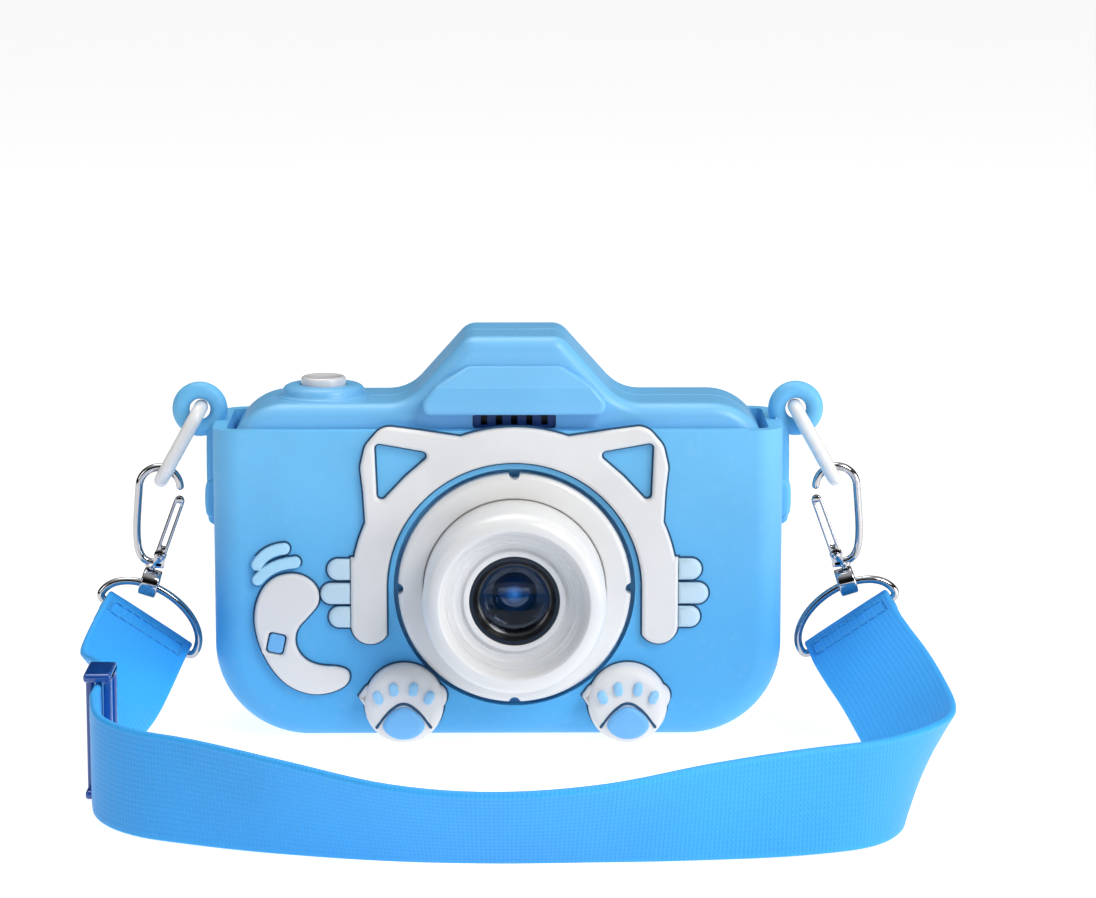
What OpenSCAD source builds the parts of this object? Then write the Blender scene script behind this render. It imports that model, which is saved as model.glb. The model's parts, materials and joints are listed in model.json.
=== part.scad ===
// Kids digital camera in a soft silicone case, with snap hooks and a neck strap.
// Millimetres, +Z up, front towards -Y. The origin is on the floor, under the
// middle of the case.

/* [Camera body] */
// Half the width of the hard camera body
body_hw = 42.8; // [42:0.1:43.5]
// Half the depth of the hard camera body
body_hd = 9.8; // [9.4:0.1:10.4]
// Height of the body's shoulders above the floor
shoulder_z = 53.8; // [53:0.1:54.6]
// Height of the top of the viewfinder hump
hump_z = 64.5; // [63:0.1:66]
// Wall thickness of the hard shells
shell_wall = 1.6; // [1.4:0.1:1.8]

/* [Silicone case] */
// Wall thickness of the silicone case
case_wall = 2.3; // [2:0.1:2.4]
// Height of the case's front wall
case_z = 50; // [49:0.5:51]
// Radius of the case's two lower corners
case_corner_r = 15; // [13:0.5:16]
// Width of the lip that holds the back of the camera
lip_w = 6; // [5:0.5:7]
// Thickness of the raised cat pieces
relief_t = 1.3; // [1:0.1:1.6]

/* [Lens] */
// Sideways place of the lens centre
lens_x = 2.6; // [2:0.1:3]
// Height of the lens centre
lens_z = 24.7; // [24:0.1:25.4]
// Radius of the white trim ring
trim_r = 18.5; // [18:0.1:19]
// Radius of the white lens barrel
barrel_r = 14.4; // [13.8:0.1:14.8]
// How far the barrel stands out of the body
barrel_out = 16.2; // [14:0.1:18]
// Radius of the black lens bezel
bezel_r = 7.05; // [6.6:0.05:7.4]

/* [Screen and buttons] */
// Width of the screen window
screen_w = 50.3; // [48:0.1:51]
// Height of the screen window
screen_h = 40.4; // [39:0.1:41]
// Radius of the power button
power_r = 2.95; // [2.7:0.05:3.1]
// Radius of the up and down buttons
arrow_r = 2.75; // [2.5:0.05:2.9]
// Travel of each rear button
button_travel = 0.6; // [0.4:0.1:0.7]

/* [Strap] */
// Width of the webbing
strap_w = 16; // [15.5:0.1:16]
// Thickness of the webbing
strap_t = 1.2; // [1:0.1:1.3]

/* [Hardware] */
// Half the width of the D-ring
ring_half = 9; // [9:0.1:9.4]
// Radius of the D-ring's wire
ring_wire = 0.65; // [0.6:0.05:0.7]
// Radius of the white link's bar
link_wire = 1.15; // [1.1:0.05:1.2]
// Radius of the snap hook's wire
hook_wire = 0.65; // [0.6:0.05:0.7]

/* [Hidden] */

fit = 0.1;                      // gap between pieces that sit in each other

// Case
case_gap = 0.2;                 // gap between the case and the body
case_hw = body_hw + case_gap + case_wall;
case_front = -(body_hd + fit + case_wall);
case_back = body_hd + fit + 2.5;
case_edge_r = 4.6;              // rounding of the case's front and back edges
body_floor = case_wall + case_gap;
body_corner_r = case_corner_r - body_floor;
groove_r = trim_r + 0.7;
lip_z = 48.6;

// Port window, low on the +X side
port_z = [9.5, 32.5];
port_y = [-3.6, 6];
usb_z = 14;
card_z = 25.5;

// Relief on the front wall
relief_y = case_front - relief_t;
band_in = 20.3;
band_out = 25.9;
arm_r = 3.05;
arm_x = band_out - arm_r + 0.05;
arm_drop = 5.9;
finger_r = 1.7;
finger_z = [3.1, -0.8, -4.6];
finger_tip = [29.7, 30.8, 29.5];   // how far each finger reaches from the lens axis
paw_r = 6.3;
paw_x = [-15, 20.6];
paw_y = case_front - 4.3;

// Body details
hump_x = lens_x;
hump_top_w = 15;
hump_foot_w = 36;
brow_y = -13;
grille_z = 51.3;
grille_w = 13;
shutter_x = -28;
shutter_r = 3.6;
shutter_travel = 0.8;
boss_top = 55.7;
screen_x = 2.8;
screen_z = 27.9;
window_z = 54.9;
board_y = [1.2, 2.4];
switch_top = board_y[1] + 2.7;  // end of a rear switch's plunger
key_top = body_hd + 1.3;        // outer face of the rear buttons
power_at = [-28, 43];
up_at = [-30.5, 30.9];
left_at = [-27.6, 22.4];
right_at = [-33.3, 22.4];
down_at = [-30.6, 13.8];
moon_w = 4.7;
moon_h = 6.6;
mic_at = [-24, 36];
screw_at = [[29, 49.5], [-22.8, 49.5], [36.6, 7.6], [-36.6, 7.6]];

// Snap hook, measured along its own axis from the middle of its swivel eye
lug_at = [-47.9, 0, 51.6];
lug_hole_r = 1.65;
lug_wire = 1.4;                 // radius of the lug's round bar
rib_w = 3.4;
bar_at = [-57.3, 0, 15.8];      // middle of the D-ring's bar
bar_tilt = 34;
ring_h = 6.5;                   // height of the D-ring's bow over its bar
ring_corner = 0.9;              // bend between the D-ring's bar and its bow
eye_shift = -3.1;               // how far along the bar the swivel eye sits
hook_lean = 7;
eye_r = 2.3;
eye_hole_r = 1.45;
eye_w = 3;
eye_turn = 11;                  // turns the eye towards the run of the D-ring's wire
eye_lift = 0.45;                // how far the eye's middle lies above that wire
bow_c = [-0.1, 15.8];           // centre of the hook's crown
bow_r = 3.3;
gate_foot = [1.15, 4.7];
link_seat = 17;                 // where the link hangs in the hook
link_half = 3.1;                // half the width of the link's centre line
link_rise = 0.37;               // how far the link's top lies above the lug's hole centre

ring_wire_at = [
    bar_at[0] + eye_shift * cos(bar_tilt) + ring_n(eye_shift) * sin(bar_tilt),
    bar_at[2] - eye_shift * sin(bar_tilt) + ring_n(eye_shift) * cos(bar_tilt)
];
eye_at = [ring_wire_at[0], 0, ring_wire_at[1] + eye_lift];
seat_at = [eye_at[0] + link_seat * sin(hook_lean), eye_at[2] + link_seat * cos(hook_lean)];
link_reach = norm([seat_at[0] - lug_at[0], seat_at[1] - lug_at[2]]);
link_lean = atan2(lug_at[0] - seat_at[0], lug_at[2] - seat_at[1]);

// Strap: the centre line from the left D-ring round the front to the right one,
// each point with the webbing's outward lean in degrees
route = [
    [-56.6, -0.12, 16.9, 56], [-57, -4.5, 16.3, 56], [-57.4, -9, 15.7, 56], [-58.2, -17, 14.2, 55],
    [-59.1, -25, 12.2, 44], [-59.6, -31, 10.7, 18], [-59.7, -36, 10, 0], [-59.7, -40, 10, 0],
    [-59.7, -51, 10, 0], [-59.7, -55, 9.7, 0], [-58, -62.5, 8.6, 0], [-52.5, -69, 8.15, 1],
    [-43.5, -74.5, 8.15, 5], [-29, -82, 7.8, 20], [-14, -87.5, 7.1, 34], [0, -89, 6.8, 38],
    [15, -87.8, 7.1, 33], [30, -84.5, 7.8, 18], [44, -80.6, 8.15, 5], [54, -76, 8.15, 4],
    [60, -68.5, 8.2, 12], [62.7, -59.5, 8.5, 28], [62.9, -49.5, 9.5, 43], [61.6, -38, 11.6, 52],
    [60.1, -27, 13.4, 55], [58.5, -17, 14.7, 56], [57.4, -9, 15.7, 56], [57, -4.5, 16.3, 56],
    [56.6, -0.12, 16.9, 56]
];
route_steps = 3;
slider_at = [-59.7, -45.5, 10];
slider_len = 9;
slider_h = 19.4;
slider_bar = 1.2;
slider_gap = 0.3;
strap_tail = 7;                 // length sewn under the webbing at each end

function ring_n(b) = ring_corner + (ring_h - ring_corner) * sqrt(1 - pow(b / ring_half, 2));
function unit(v) = v / norm(v);
// A closed outline with its corners cut n times, which makes it smooth
function smooth(p, n) = n == 0 ? p : smooth([
    for (i = [0 : len(p) - 1], t = [0.25, 0.75]) p[i] * (1 - t) + p[(i + 1) % len(p)] * t], n - 1);
function blend(a, b, c, d, t) =
    0.5 * (2 * b + (c - a) * t + (2 * a - 5 * b + 4 * c - d) * t * t + (3 * b - a - 3 * c + d) * t * t * t);
function route_at(i, t) =
    let (last = len(route) - 1, a = route[max(i - 1, 0)], b = route[i], c = route[i + 1],
         d = route[min(i + 2, last)])
    blend(a, b, c, d, t);
function route_line() = [
    for (i = [0 : len(route) - 2], k = [0 : route_steps - 1]) route_at(i, k / route_steps),
    route[len(route) - 1]
];
function place(p) = [p[0], p[1], p[2]];

// A rectangle with round corners, about its centre
module round_rect(w, h, r) {
    offset(r = r, $fn = 40) square([w - 2 * r, h - 2 * r], center = true);
}

// Stands a drawing of X and Z up, with its thickness running from y0 to y1
module upright(y0, y1) {
    translate([0, y1, 0]) rotate([90, 0, 0]) linear_extrude(y1 - y0) children();
}

// A cylinder along Y from y0 to y1
module rod_y(x, z, r, y0, y1, r_front = undef) {
    translate([x, y1, z]) rotate([90, 0, 0])
        cylinder(h = y1 - y0, r1 = r, r2 = is_undef(r_front) ? r : r_front, $fn = 96);
}

// A flat ring about Y
module collar_y(x, z, r_out, r_in, y0, y1) {
    difference() {
        rod_y(x, z, r_out, y0, y1);
        rod_y(x, z, r_in, y0 - 1, y1 + 1);
    }
}

// ---------------------------------------------------------------- silicone case

// Outline of the case's lower half, up to a straight top
module case_outline(inset, top) {
    r = case_corner_r - inset;
    w = case_hw - inset;
    hull() {
        for (s = [-1, 1]) translate([s * (w - r), inset + r]) circle(r, $fn = 96);
        translate([-w, top - 1]) square([2 * w, 1]);
    }
}

// Rounded outer block of the case
module case_block() {
    e = case_edge_r;
    w = case_hw - e;
    r = case_corner_r - e;
    hull() for (y = [case_front + e, case_back - e]) {
        for (s = [-1, 1]) {
            translate([s * (case_hw - case_corner_r), y, case_corner_r]) rotate([90, 0, 0])
                rotate_extrude($fn = 32) translate([r, 0]) circle(e, $fn = 16);
            translate([s * w, y, case_corner_r]) cylinder(h = case_z - case_corner_r, r = e, $fn = 16);
        }
    }
}

module lug() {
    translate(lug_at) rotate([90, 0, 0]) rotate_extrude($fn = 48)
        translate([lug_hole_r + lug_wire, 0]) circle(lug_wire, $fn = 32);
    // Rib that ties the lug to the side of the case
    translate([-case_hw - 1.6, -rib_w / 2, 33]) cube([2.2, rib_w, 15.2]);
    translate([-case_hw - 1.9, -rib_w / 2 - 0.6, 34.4]) cube([2.4, rib_w + 1.2, 5.6]);
}

module silicone_case() color([0.45, 0.75, 0.95]) {
    difference() {
        case_block();
        // Space for the body
        upright(-body_hd - fit, body_hd + fit) case_outline(case_wall, 80);
        // Opening in the back
        upright(0, 30) intersection() {
            case_outline(lip_w, 80);
            union() {
                case_outline(lip_w, lip_z);
                offset(r = -5, $fn = 40) offset(delta = 5)
                    translate([0, 68]) square([2 * case_hw + 20, 40], center = true);
            }
        }
        rod_y(lens_x, lens_z, groove_r, -30, 0);
        translate([20, port_y[0], port_z[0]])
            cube([40, port_y[1] - port_y[0], port_z[1] - port_z[0]]);
    }
    lug();
    mirror([1, 0, 0]) lug();
}

// ---------------------------------------------------------------- cat pieces

// Head band with two ears and two arms, drawn about the lens centre
module cat_outline() {
    difference() {
        union() {
            intersection() {
                circle(band_out, $fn = 120);
                translate([-40, 0]) square([80, 60]);
            }
            for (s = [0, 1]) mirror([s, 0]) {
                hull() {
                    translate([arm_x, 5]) square([2 * arm_r, 0.1], center = true);
                    translate([arm_x, -arm_drop]) circle(arm_r, $fn = 40);
                }
                offset(r = 3, $fn = 48) polygon([[9, 21.5], [15, 22.4], [19.6, 23], [20.8, 21.6],
                    [21.3, 19.4], [20.9, 16], [20.6, 10.8], [19, 12], [12, 17.5]]);
            }
        }
        circle(band_in, $fn = 120);
        translate([-band_in, -20]) square([2 * band_in, 20]);
        for (s = [0, 1]) mirror([s, 0])
            offset(r = 0.8, $fn = 32) polygon([[21.3, 22.6], [14.6, 21.4], [17.8, 18.6], [21, 15.2]]);
    }
}

module on_lens() {
    translate([lens_x, lens_z]) children();
}

module cat_relief() color([0.9, 0.9, 0.9])
    upright(relief_y, case_front) on_lens() cat_outline();

module cat_fingers() color([0.8, 0.9, 0.97])
    for (s = [0, 1], i = [0 : 2])
        translate([lens_x, 0, lens_z]) mirror([s, 0, 0])
            upright(relief_y + 0.2, case_front) hull() {
                translate([finger_tip[i] - finger_r, finger_z[i]]) circle(finger_r, $fn = 40);
                translate([arm_x + arm_r + 0.05, finger_z[i] - finger_r]) square([0.5, 2 * finger_r]);
            }

module tail_outline() {
    polygon(smooth([[-33.2, 27.3], [-30.6, 26.8], [-28.6, 25], [-28.3, 22.4], [-30.2, 20.2], [-32.1, 18.2],
        [-32.4, 15.6], [-31.1, 13.3], [-28.6, 12.1], [-25, 12], [-23.5, 11], [-24, 9], [-26.9, 7.7],
        [-30, 7.5], [-33.4, 8.8], [-36, 11.5], [-38, 15.4], [-38.9, 19.9], [-38.1, 23.7], [-36.2, 26.3]], 3));
}

module badge_outline(grow) {
    translate([-35.3, 15.9]) rotate(-12) round_rect(2.5 + grow, 3 + grow, 0.6);
}

module tail_relief() color([0.9, 0.9, 0.9])
    upright(relief_y, case_front) difference() {
        tail_outline();
        badge_outline(0.4);
    }

module tail_badge() color([0.4, 0.7, 0.95])
    upright(relief_y + 0.3, case_front) badge_outline(0);

// One stripe bends through three points
module stripe(a, b, c)
    for (i = [0 : 5]) hull() for (t = [i / 6, (i + 1) / 6])
        translate(a * (1 - t) * (1 - t) + b * 2 * t * (1 - t) + c * t * t) circle(0.9, $fn = 32);

module tail_stripes() color([0.55, 0.8, 0.97])
    upright(relief_y + 0.3, case_front) {
        stripe([-38.2, 28.6], [-36.8, 31], [-33.9, 31.2]);
        stripe([-38.1, 26.2], [-36, 28.8], [-32.2, 29]);
    }

module paw(x) {
    rod_y(x, paw_r, paw_r, paw_y + 1.2, case_front);
    rod_y(x, paw_r, paw_r, paw_y, paw_y + 1.2, paw_r - 1.2);
    // Side corners of the paw
    upright(paw_y + 1.6, case_front) translate([x, paw_r + 0.6])
        polygon([[-7.2, 0.4], [-5.6, 2.6], [5.6, 2.6], [7.2, 0.4], [5.4, -2.4], [-5.4, -2.4]]);
}

module paw_left() color([0.9, 0.9, 0.9]) paw(paw_x[0]);
module paw_right() color([0.9, 0.9, 0.9]) paw(paw_x[1]);

// Outline of a paw's heel, about the paw's middle
function heel() = smooth([[0, 0.3], [2, -0.7], [3.5, -2.7], [3, -4.1], [1.5, -5.1], [0, -5.3],
    [-1.5, -5.1], [-3, -4.1], [-3.5, -2.7], [-2, -0.7]], 2);

module paw_pads() color([0.45, 0.72, 0.95])
    for (x = paw_x) translate([x, 0, paw_r]) {
        for (toe = [[-4.05, 1.5, 24], [-1.55, 2.85, 8], [1.55, 2.85, -8], [4.05, 1.5, -24]])
            upright(paw_y - 0.6, paw_y) translate([toe[0], toe[1]]) rotate(toe[2]) hull()
                for (h = [-0.4, 0.4]) translate([0, h]) circle(0.7, $fn = 32);
        upright(paw_y - 0.9, paw_y) polygon(heel());
    }

// ---------------------------------------------------------------- camera body

// Outline of the hard body: a rounded box with the viewfinder hump on top
module body_outline(inset) {
    offset(delta = -inset) offset(r = 3, $fn = 40) offset(delta = -3)
        offset(r = -7, $fn = 40) offset(delta = 7) {
            hull() {
                for (s = [-1, 1]) translate([s * (body_hw - body_corner_r), body_floor + body_corner_r])
                    circle(body_corner_r, $fn = 96);
                for (s = [-1, 1]) translate([s * (body_hw - 9), shoulder_z - 9]) circle(9, $fn = 64);
            }
            polygon([[hump_x - hump_foot_w / 2, shoulder_z - 1], [hump_x - hump_top_w / 2, hump_z],
                [hump_x + hump_top_w / 2, hump_z], [hump_x + hump_foot_w / 2, shoulder_z - 1]]);
        }
}

// The solid body, with its front and back edges stepped in
module body_solid() {
    upright(-body_hd + 1.2, body_hd - 1.2) body_outline(0);
    upright(-body_hd + 0.4, body_hd - 0.4) body_outline(0.5);
    upright(-body_hd, body_hd) body_outline(1.3);
}

module body_space() {
    upright(-body_hd + shell_wall, body_hd - shell_wall) body_outline(shell_wall + 0.4);
}

module shutter_boss() {
    translate([shutter_x, 0, 50]) cylinder(h = boss_top - 51.2, r = 6.6, $fn = 96);
    translate([shutter_x, 0, boss_top - 1.2]) cylinder(h = 1.2, r1 = 6.6, r2 = 5.2, $fn = 96);
}

// Cuts that both shells share
module shared_cuts() {
    translate([shutter_x, 0, 40]) cylinder(h = 30, r = shutter_r + 0.15, $fn = 96);
    // Room for the shutter button's tabs and their travel
    translate([shutter_x - 2.8, -5, 49.4]) cube([5.6, 10, 3.1]);
    translate([30, -1.75, usb_z - 4]) cube([20, 3.1, 8]);
    translate([30, 2.45, card_z - 5.8]) cube([20, 1.2, 11.6]);
}

module brow() {
    hull() {
        upright(brow_y, -9) translate([hump_x, 54]) round_rect(29, 3, 1.4);
        upright(brow_y + 0.5, -9) translate([hump_x, 56.2]) round_rect(25.6, 2, 0.9);
        upright(-10.8, -9) translate([hump_x, 58.8]) round_rect(16.4, 2.6, 1.2);
    }
}

module front_shell() color([0.5, 0.78, 0.95])
    difference() {
        union() {
            difference() {
                union() {
                    intersection() {
                        body_solid();
                        translate([-60, -30, 0]) cube([120, 30, 80]);
                    }
                    intersection() {
                        shutter_boss();
                        translate([-60, -30, 0]) cube([120, 30, 80]);
                    }
                    brow();
                }
                body_space();
                rod_y(lens_x, lens_z, barrel_r + 0.1, -20, 0);
                translate([hump_x - grille_w / 2 - 0.1, -14, grille_z - 1.3]) cube([grille_w + 0.2, 6.5, 2.6]);
                shared_cuts();
            }
            // Posts for the four case screws
            for (p = screw_at) rod_y(p[0], p[1], 1.8, -body_hd + shell_wall - 0.2, -0.1);
        }
        for (p = screw_at) rod_y(p[0], p[1], 0.82, -6.4, 1);
    }

module rear_shell() color([0.5, 0.78, 0.95]) {
    difference() {
        union() {
            intersection() {
                body_solid();
                translate([-60, 0, 0]) cube([120, 30, 80]);
            }
            intersection() {
                shutter_boss();
                translate([-60, 0, 0]) cube([120, 30, 80]);
            }
        }
        body_space();
        upright(body_hd - 1.3, body_hd + 1)
            translate([screen_x, screen_z]) round_rect(screen_w + 0.2, screen_h + 0.2, 4.7);
        upright(0, body_hd + 1) translate([screen_x, screen_z]) square([42, 32], center = true);
        upright(body_hd - 0.9, body_hd + 1)
            translate([hump_x, window_z]) round_rect(11.7, 7.8, 1.7);
        rod_y(hump_x, window_z, 2.6, 0, body_hd + 1);
        rod_y(power_at[0], power_at[1], power_r + 0.15, 0, body_hd + 1);
        rod_y(up_at[0], up_at[1], arrow_r + 0.15, 0, body_hd + 1);
        rod_y(down_at[0], down_at[1], arrow_r + 0.15, 0, body_hd + 1);
        upright(0, body_hd + 1) moon(left_at, 0, 0.15);
        upright(0, body_hd + 1) moon(right_at, 1, 0.15);
        rod_y(mic_at[0], mic_at[1], 0.5, 0, body_hd + 1);
        for (p = screw_at) {
            rod_y(p[0], p[1], 0.95, 0, body_hd + 1);
            rod_y(p[0], p[1], 1.75, body_hd - 1.5, body_hd + 1);
        }
        shared_cuts();
    }
    // Seats under the screw heads
    for (p = screw_at) difference() {
        rod_y(p[0], p[1], 2, 0, body_hd - 1.5);
        rod_y(p[0], p[1], 0.95, -1, body_hd + 1);
    }
    // Raised arch round the rear window
    upright(body_hd, body_hd + 1.2) difference() {
        translate([hump_x, 53.5]) round_rect(25.6, 13.4, 5);
        translate([hump_x, 52.3]) round_rect(20.8, 13.4, 3.6);
        translate([hump_x - 20, 40]) square([40, 8.4]);
    }
}

module speaker_grille() color([0.1, 0.2, 0.35])
    upright(-9.4, -8.3) difference() {
        translate([hump_x, grille_z]) square([grille_w, 2.4], center = true);
        for (i = [-2 : 2]) translate([hump_x + 2.4 * i, grille_z]) square([1, 1.6], center = true);
    }

// ---------------------------------------------------------------- lens

module lens_ring() color([0.92, 0.92, 0.92])
    difference() {
        union() {
            collar_y(lens_x, lens_z, trim_r, barrel_r + 0.1, -body_hd - 2.6, -body_hd);
            difference() {
                rod_y(lens_x, lens_z, trim_r, -body_hd - 3.4, -body_hd - 2.6, trim_r - 0.8);
                rod_y(lens_x, lens_z, barrel_r + 0.1, -20, 0);
            }
        }
        for (a = [0 : 90 : 270])
            translate([lens_x, -body_hd - 3.4, lens_z]) rotate([0, a, 0])
                translate([0, 0, trim_r]) rotate([90, 0, 0]) cylinder(h = 5, r = 0.9, center = true, $fn = 40);
    }

// The barrel, turned about its own axis: z here is the distance in front of the body
module lens_barrel() color([0.93, 0.93, 0.93])
    translate([lens_x, -body_hd, lens_z]) rotate([90, 0, 0]) rotate_extrude($fn = 120) polygon([
        [9, -3.2], [16.6, -3.2], [16.6, -1.8], [barrel_r, -1.8], [barrel_r, barrel_out - 2.4],
        [barrel_r - 0.35, barrel_out - 1.1], [barrel_r - 1.2, barrel_out - 0.3], [barrel_r - 2, barrel_out],
        [barrel_r - 2.6, barrel_out - 0.4], [11.2, barrel_out - 1.6], [10.9, barrel_out - 2.4],
        [9.7, barrel_out - 2.9], [9.5, barrel_out - 3.6], [8.3, barrel_out - 4], [8, barrel_out - 3.6],
        [7.7, barrel_out - 3.6], [7.5, barrel_out - 4], [7.5, 3.2], [9, 3.2]
    ]);

module lens_bezel() color([0.05, 0.05, 0.06])
    translate([lens_x, -body_hd, lens_z]) rotate([90, 0, 0]) rotate_extrude($fn = 96) polygon([
        [5.5, 5], [7.4, 5], [7.4, barrel_out - 4.9], [bezel_r, barrel_out - 4], [6.5, barrel_out - 3.9],
        [6.1, barrel_out - 4.4], [5.9, barrel_out - 5.2], [5.5, barrel_out - 5.4]
    ]);

module lens_glass() color([0.2, 0.3, 0.6, 0.5])
    translate([lens_x, -body_hd, lens_z]) rotate([90, 0, 0]) intersection() {
        translate([0, 0, 8]) cylinder(h = 6, r = 5.4, $fn = 96);
        translate([0, 0, barrel_out - 5.3 - 18]) sphere(18, $fn = 128);
        translate([0, 0, barrel_out - 7.2]) cylinder(h = 6, r = 5.4, $fn = 96);
    }

module lens_cell() color([0.06, 0.06, 0.07])
    translate([lens_x, -body_hd, lens_z]) rotate([90, 0, 0]) rotate_extrude($fn = 96) polygon([
        [1.6, -2.6], [5.4, -2.6], [5.4, 8.8], [4.6, 8.8], [4.4, 7.2], [3.4, 6.9], [3.2, 5.4], [2.2, 5], [1.6, 3.6]
    ]);

module camera_module() color([0.15, 0.15, 0.17]) {
    translate([lens_x - 4.5, -body_hd + 5.6, lens_z - 4.5]) cube([9, 5.2, 9]);
    rod_y(lens_x, lens_z, 3, -body_hd + 2.8, -body_hd + 5.6);
}

// ---------------------------------------------------------------- buttons

// One half of a round key, straight on its -X side; side 1 is straight on the other
module moon(at, side, grow) {
    translate(at) mirror([side, 0]) intersection() {
        translate([-0.9, 0]) circle(moon_h / 2 + grow, $fn = 64);
        translate([-moon_w / 2 - grow, -5]) square([12, 10]);
    }
}

// Cap, flange and stem of a round rear button
module round_key(at, r) {
    rod_y(at[0], at[1], r, 7.6, key_top - 0.4);
    rod_y(at[0], at[1], r - 0.4, key_top - 0.4, key_top, r);
    rod_y(at[0], at[1], r + 0.7, 7.1, 7.6);
    rod_y(at[0], at[1], 1.1, switch_top + button_travel + fit, 7.1);
}

module moon_key(at, side) {
    upright(7.6, key_top) moon(at, side, 0);
    upright(7.1, 7.6) moon(at, side, 0.28);
    rod_y(at[0], at[1], 1.1, switch_top + button_travel + fit, 7.1);
}

module power_button() color([0.93, 0.93, 0.93]) round_key(power_at, power_r);
module up_button() color([0.93, 0.93, 0.93]) round_key(up_at, arrow_r);
module down_button() color([0.93, 0.93, 0.93]) round_key(down_at, arrow_r);
module left_button() color([0.93, 0.93, 0.93]) moon_key(left_at, 0);
module right_button() color([0.93, 0.93, 0.93]) moon_key(right_at, 1);

module shutter_button() color([0.9, 0.9, 0.92]) {
    translate([shutter_x, 0, 51.9]) cylinder(h = 56.5 - 51.9, r = shutter_r, $fn = 96);
    translate([shutter_x, 0, 56.5]) cylinder(h = 0.5, r1 = shutter_r, r2 = shutter_r - 0.5, $fn = 96);
    intersection() {
        translate([shutter_x, 0, 51.3]) cylinder(h = 0.6, r = 4.7, $fn = 96);
        translate([shutter_x - 2.4, -5, 51]) cube([4.8, 10, 1.5]);
    }
    translate([shutter_x, 0, 48.85 + shutter_travel]) cylinder(h = 2.5 - shutter_travel, r = 1.2, $fn = 48);
}

module shutter_switch() color([0.2, 0.2, 0.22]) {
    translate([shutter_x - 2.4, -3, 45.4]) cube([4.8, 6, 3]);
    translate([shutter_x, 0, 48.4]) cylinder(h = 0.35, r = 1, $fn = 48);
}

module button_switches() color([0.25, 0.25, 0.27])
    for (p = [power_at, up_at, left_at, right_at, down_at]) {
        translate([p[0] - 2.2, board_y[1], p[1] - 2.2]) cube([4.4, 2, 4.4]);
        rod_y(p[0], p[1], 0.9, board_y[1] + 2, switch_top);
    }

// ---------------------------------------------------------------- screen and windows

module screen_window() color([0.02, 0.02, 0.02])
    upright(body_hd - 1.2, body_hd) translate([screen_x, screen_z]) round_rect(screen_w, screen_h, 4.6);

module lcd_panel() color([0.75, 0.8, 0.85])
    translate([screen_x - 23, 6.1, screen_z - 17.8]) difference() {
        cube([46, 2, 35.6]);
        translate([2.5, 1.7, 2.5]) cube([40.9, 1, 30.6]);
    }

module viewfinder_window() color([0.03, 0.03, 0.03])
    upright(body_hd - 0.8, body_hd + 0.1) difference() {
        translate([hump_x, window_z]) round_rect(11.5, 7.6, 1.6);
        translate([hump_x, window_z]) circle(1.5, $fn = 48);
    }

module selfie_module() color([0.1, 0.1, 0.12]) {
    rod_y(hump_x, window_z, 2.4, 5, body_hd - 0.9);
    rod_y(hump_x, window_z, 1.4, body_hd - 0.9, body_hd - 0.2);
    translate([hump_x - 3.5, 2.6, window_z - 3.5]) cube([7, 2.4, 7]);
}

// ---------------------------------------------------------------- inside the body

module main_board() color([0.1, 0.4, 0.2])
    difference() {
        upright(board_y[0], board_y[1]) intersection() {
            translate([-38.5, 5.6]) square([76.8, 43]);
            body_outline(4.2);
        }
        for (p = screw_at) rod_y(p[0], p[1], 2.7, 0, 5);
        translate([shutter_x - 3.4, 0, 44.8]) cube([6.8, 5, 10]);
    }

module board_chips() color([0.12, 0.12, 0.13]) {
    for (p = [[-16, 14, 9], [-14, 36, 7], [27.5, 40.4, 6]])
        translate([p[0] - p[2] / 2, board_y[0] - 1, p[1] - p[2] / 2]) cube([p[2], 1, p[2]]);
    for (i = [0 : 5]) translate([-27, board_y[0] - 0.6, 12 + 4.5 * i]) cube([2, 0.6, 1.2]);
}

module battery() color([0.75, 0.77, 0.8])
    translate([29.6, -3.1, 24]) rotate([90, 0, 0]) linear_extrude(4.6) round_rect(19, 28, 1.5);

module speaker() color([0.2, 0.2, 0.22]) {
    translate([hump_x - 7.5, -7.9, 46.6]) cube([15, 3, 11]);
    translate([hump_x - 5, -4.9, 49]) cube([10, 1.4, 6]);
}

module microphone() color([0.7, 0.7, 0.72])
    rod_y(mic_at[0], mic_at[1], 1.8, board_y[1], board_y[1] + 1.4);

module usb_socket() color([0.75, 0.75, 0.78])
    difference() {
        translate([36.6, -1.6, usb_z - 3.75]) cube([5.7, 2.8, 7.5]);
        translate([37.4, -1.3, usb_z - 3.4]) cube([10, 2.2, 6.8]);
    }

module card_socket() color([0.7, 0.7, 0.72])
    difference() {
        translate([26.2, board_y[1], card_z - 6.4]) cube([12, 1.7, 12.8]);
        translate([27, 2.55, card_z - 5.7]) cube([20, 1, 11.4]);
    }

module memory_card() color([0.1, 0.1, 0.1]) {
    translate([27.9, 2.7, card_z - 5.5]) cube([14.2, 0.7, 11]);
    translate([42.1, 2.7, card_z - 5.5]) cube([0.8, 0.8, 11]);
}

module case_screws() color([0.3, 0.3, 0.32])
    for (p = screw_at) difference() {
        union() {
            rod_y(p[0], p[1], 1.55, body_hd - 1.45, body_hd - 0.35);
            rod_y(p[0], p[1], 0.75, -5.6, body_hd - 1.45);
        }
        for (a = [0, 90]) translate([p[0], body_hd, p[1]]) rotate([0, a, 0])
            cube([1.7, 1.6, 0.4], center = true);
    }

// ---------------------------------------------------------------- hooks, links and rings

// Puts a piece drawn in the hook's own frame (x inwards, z up the hook) in place
module in_hook() {
    translate(eye_at) rotate([0, hook_lean, 0]) children();
}

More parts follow.
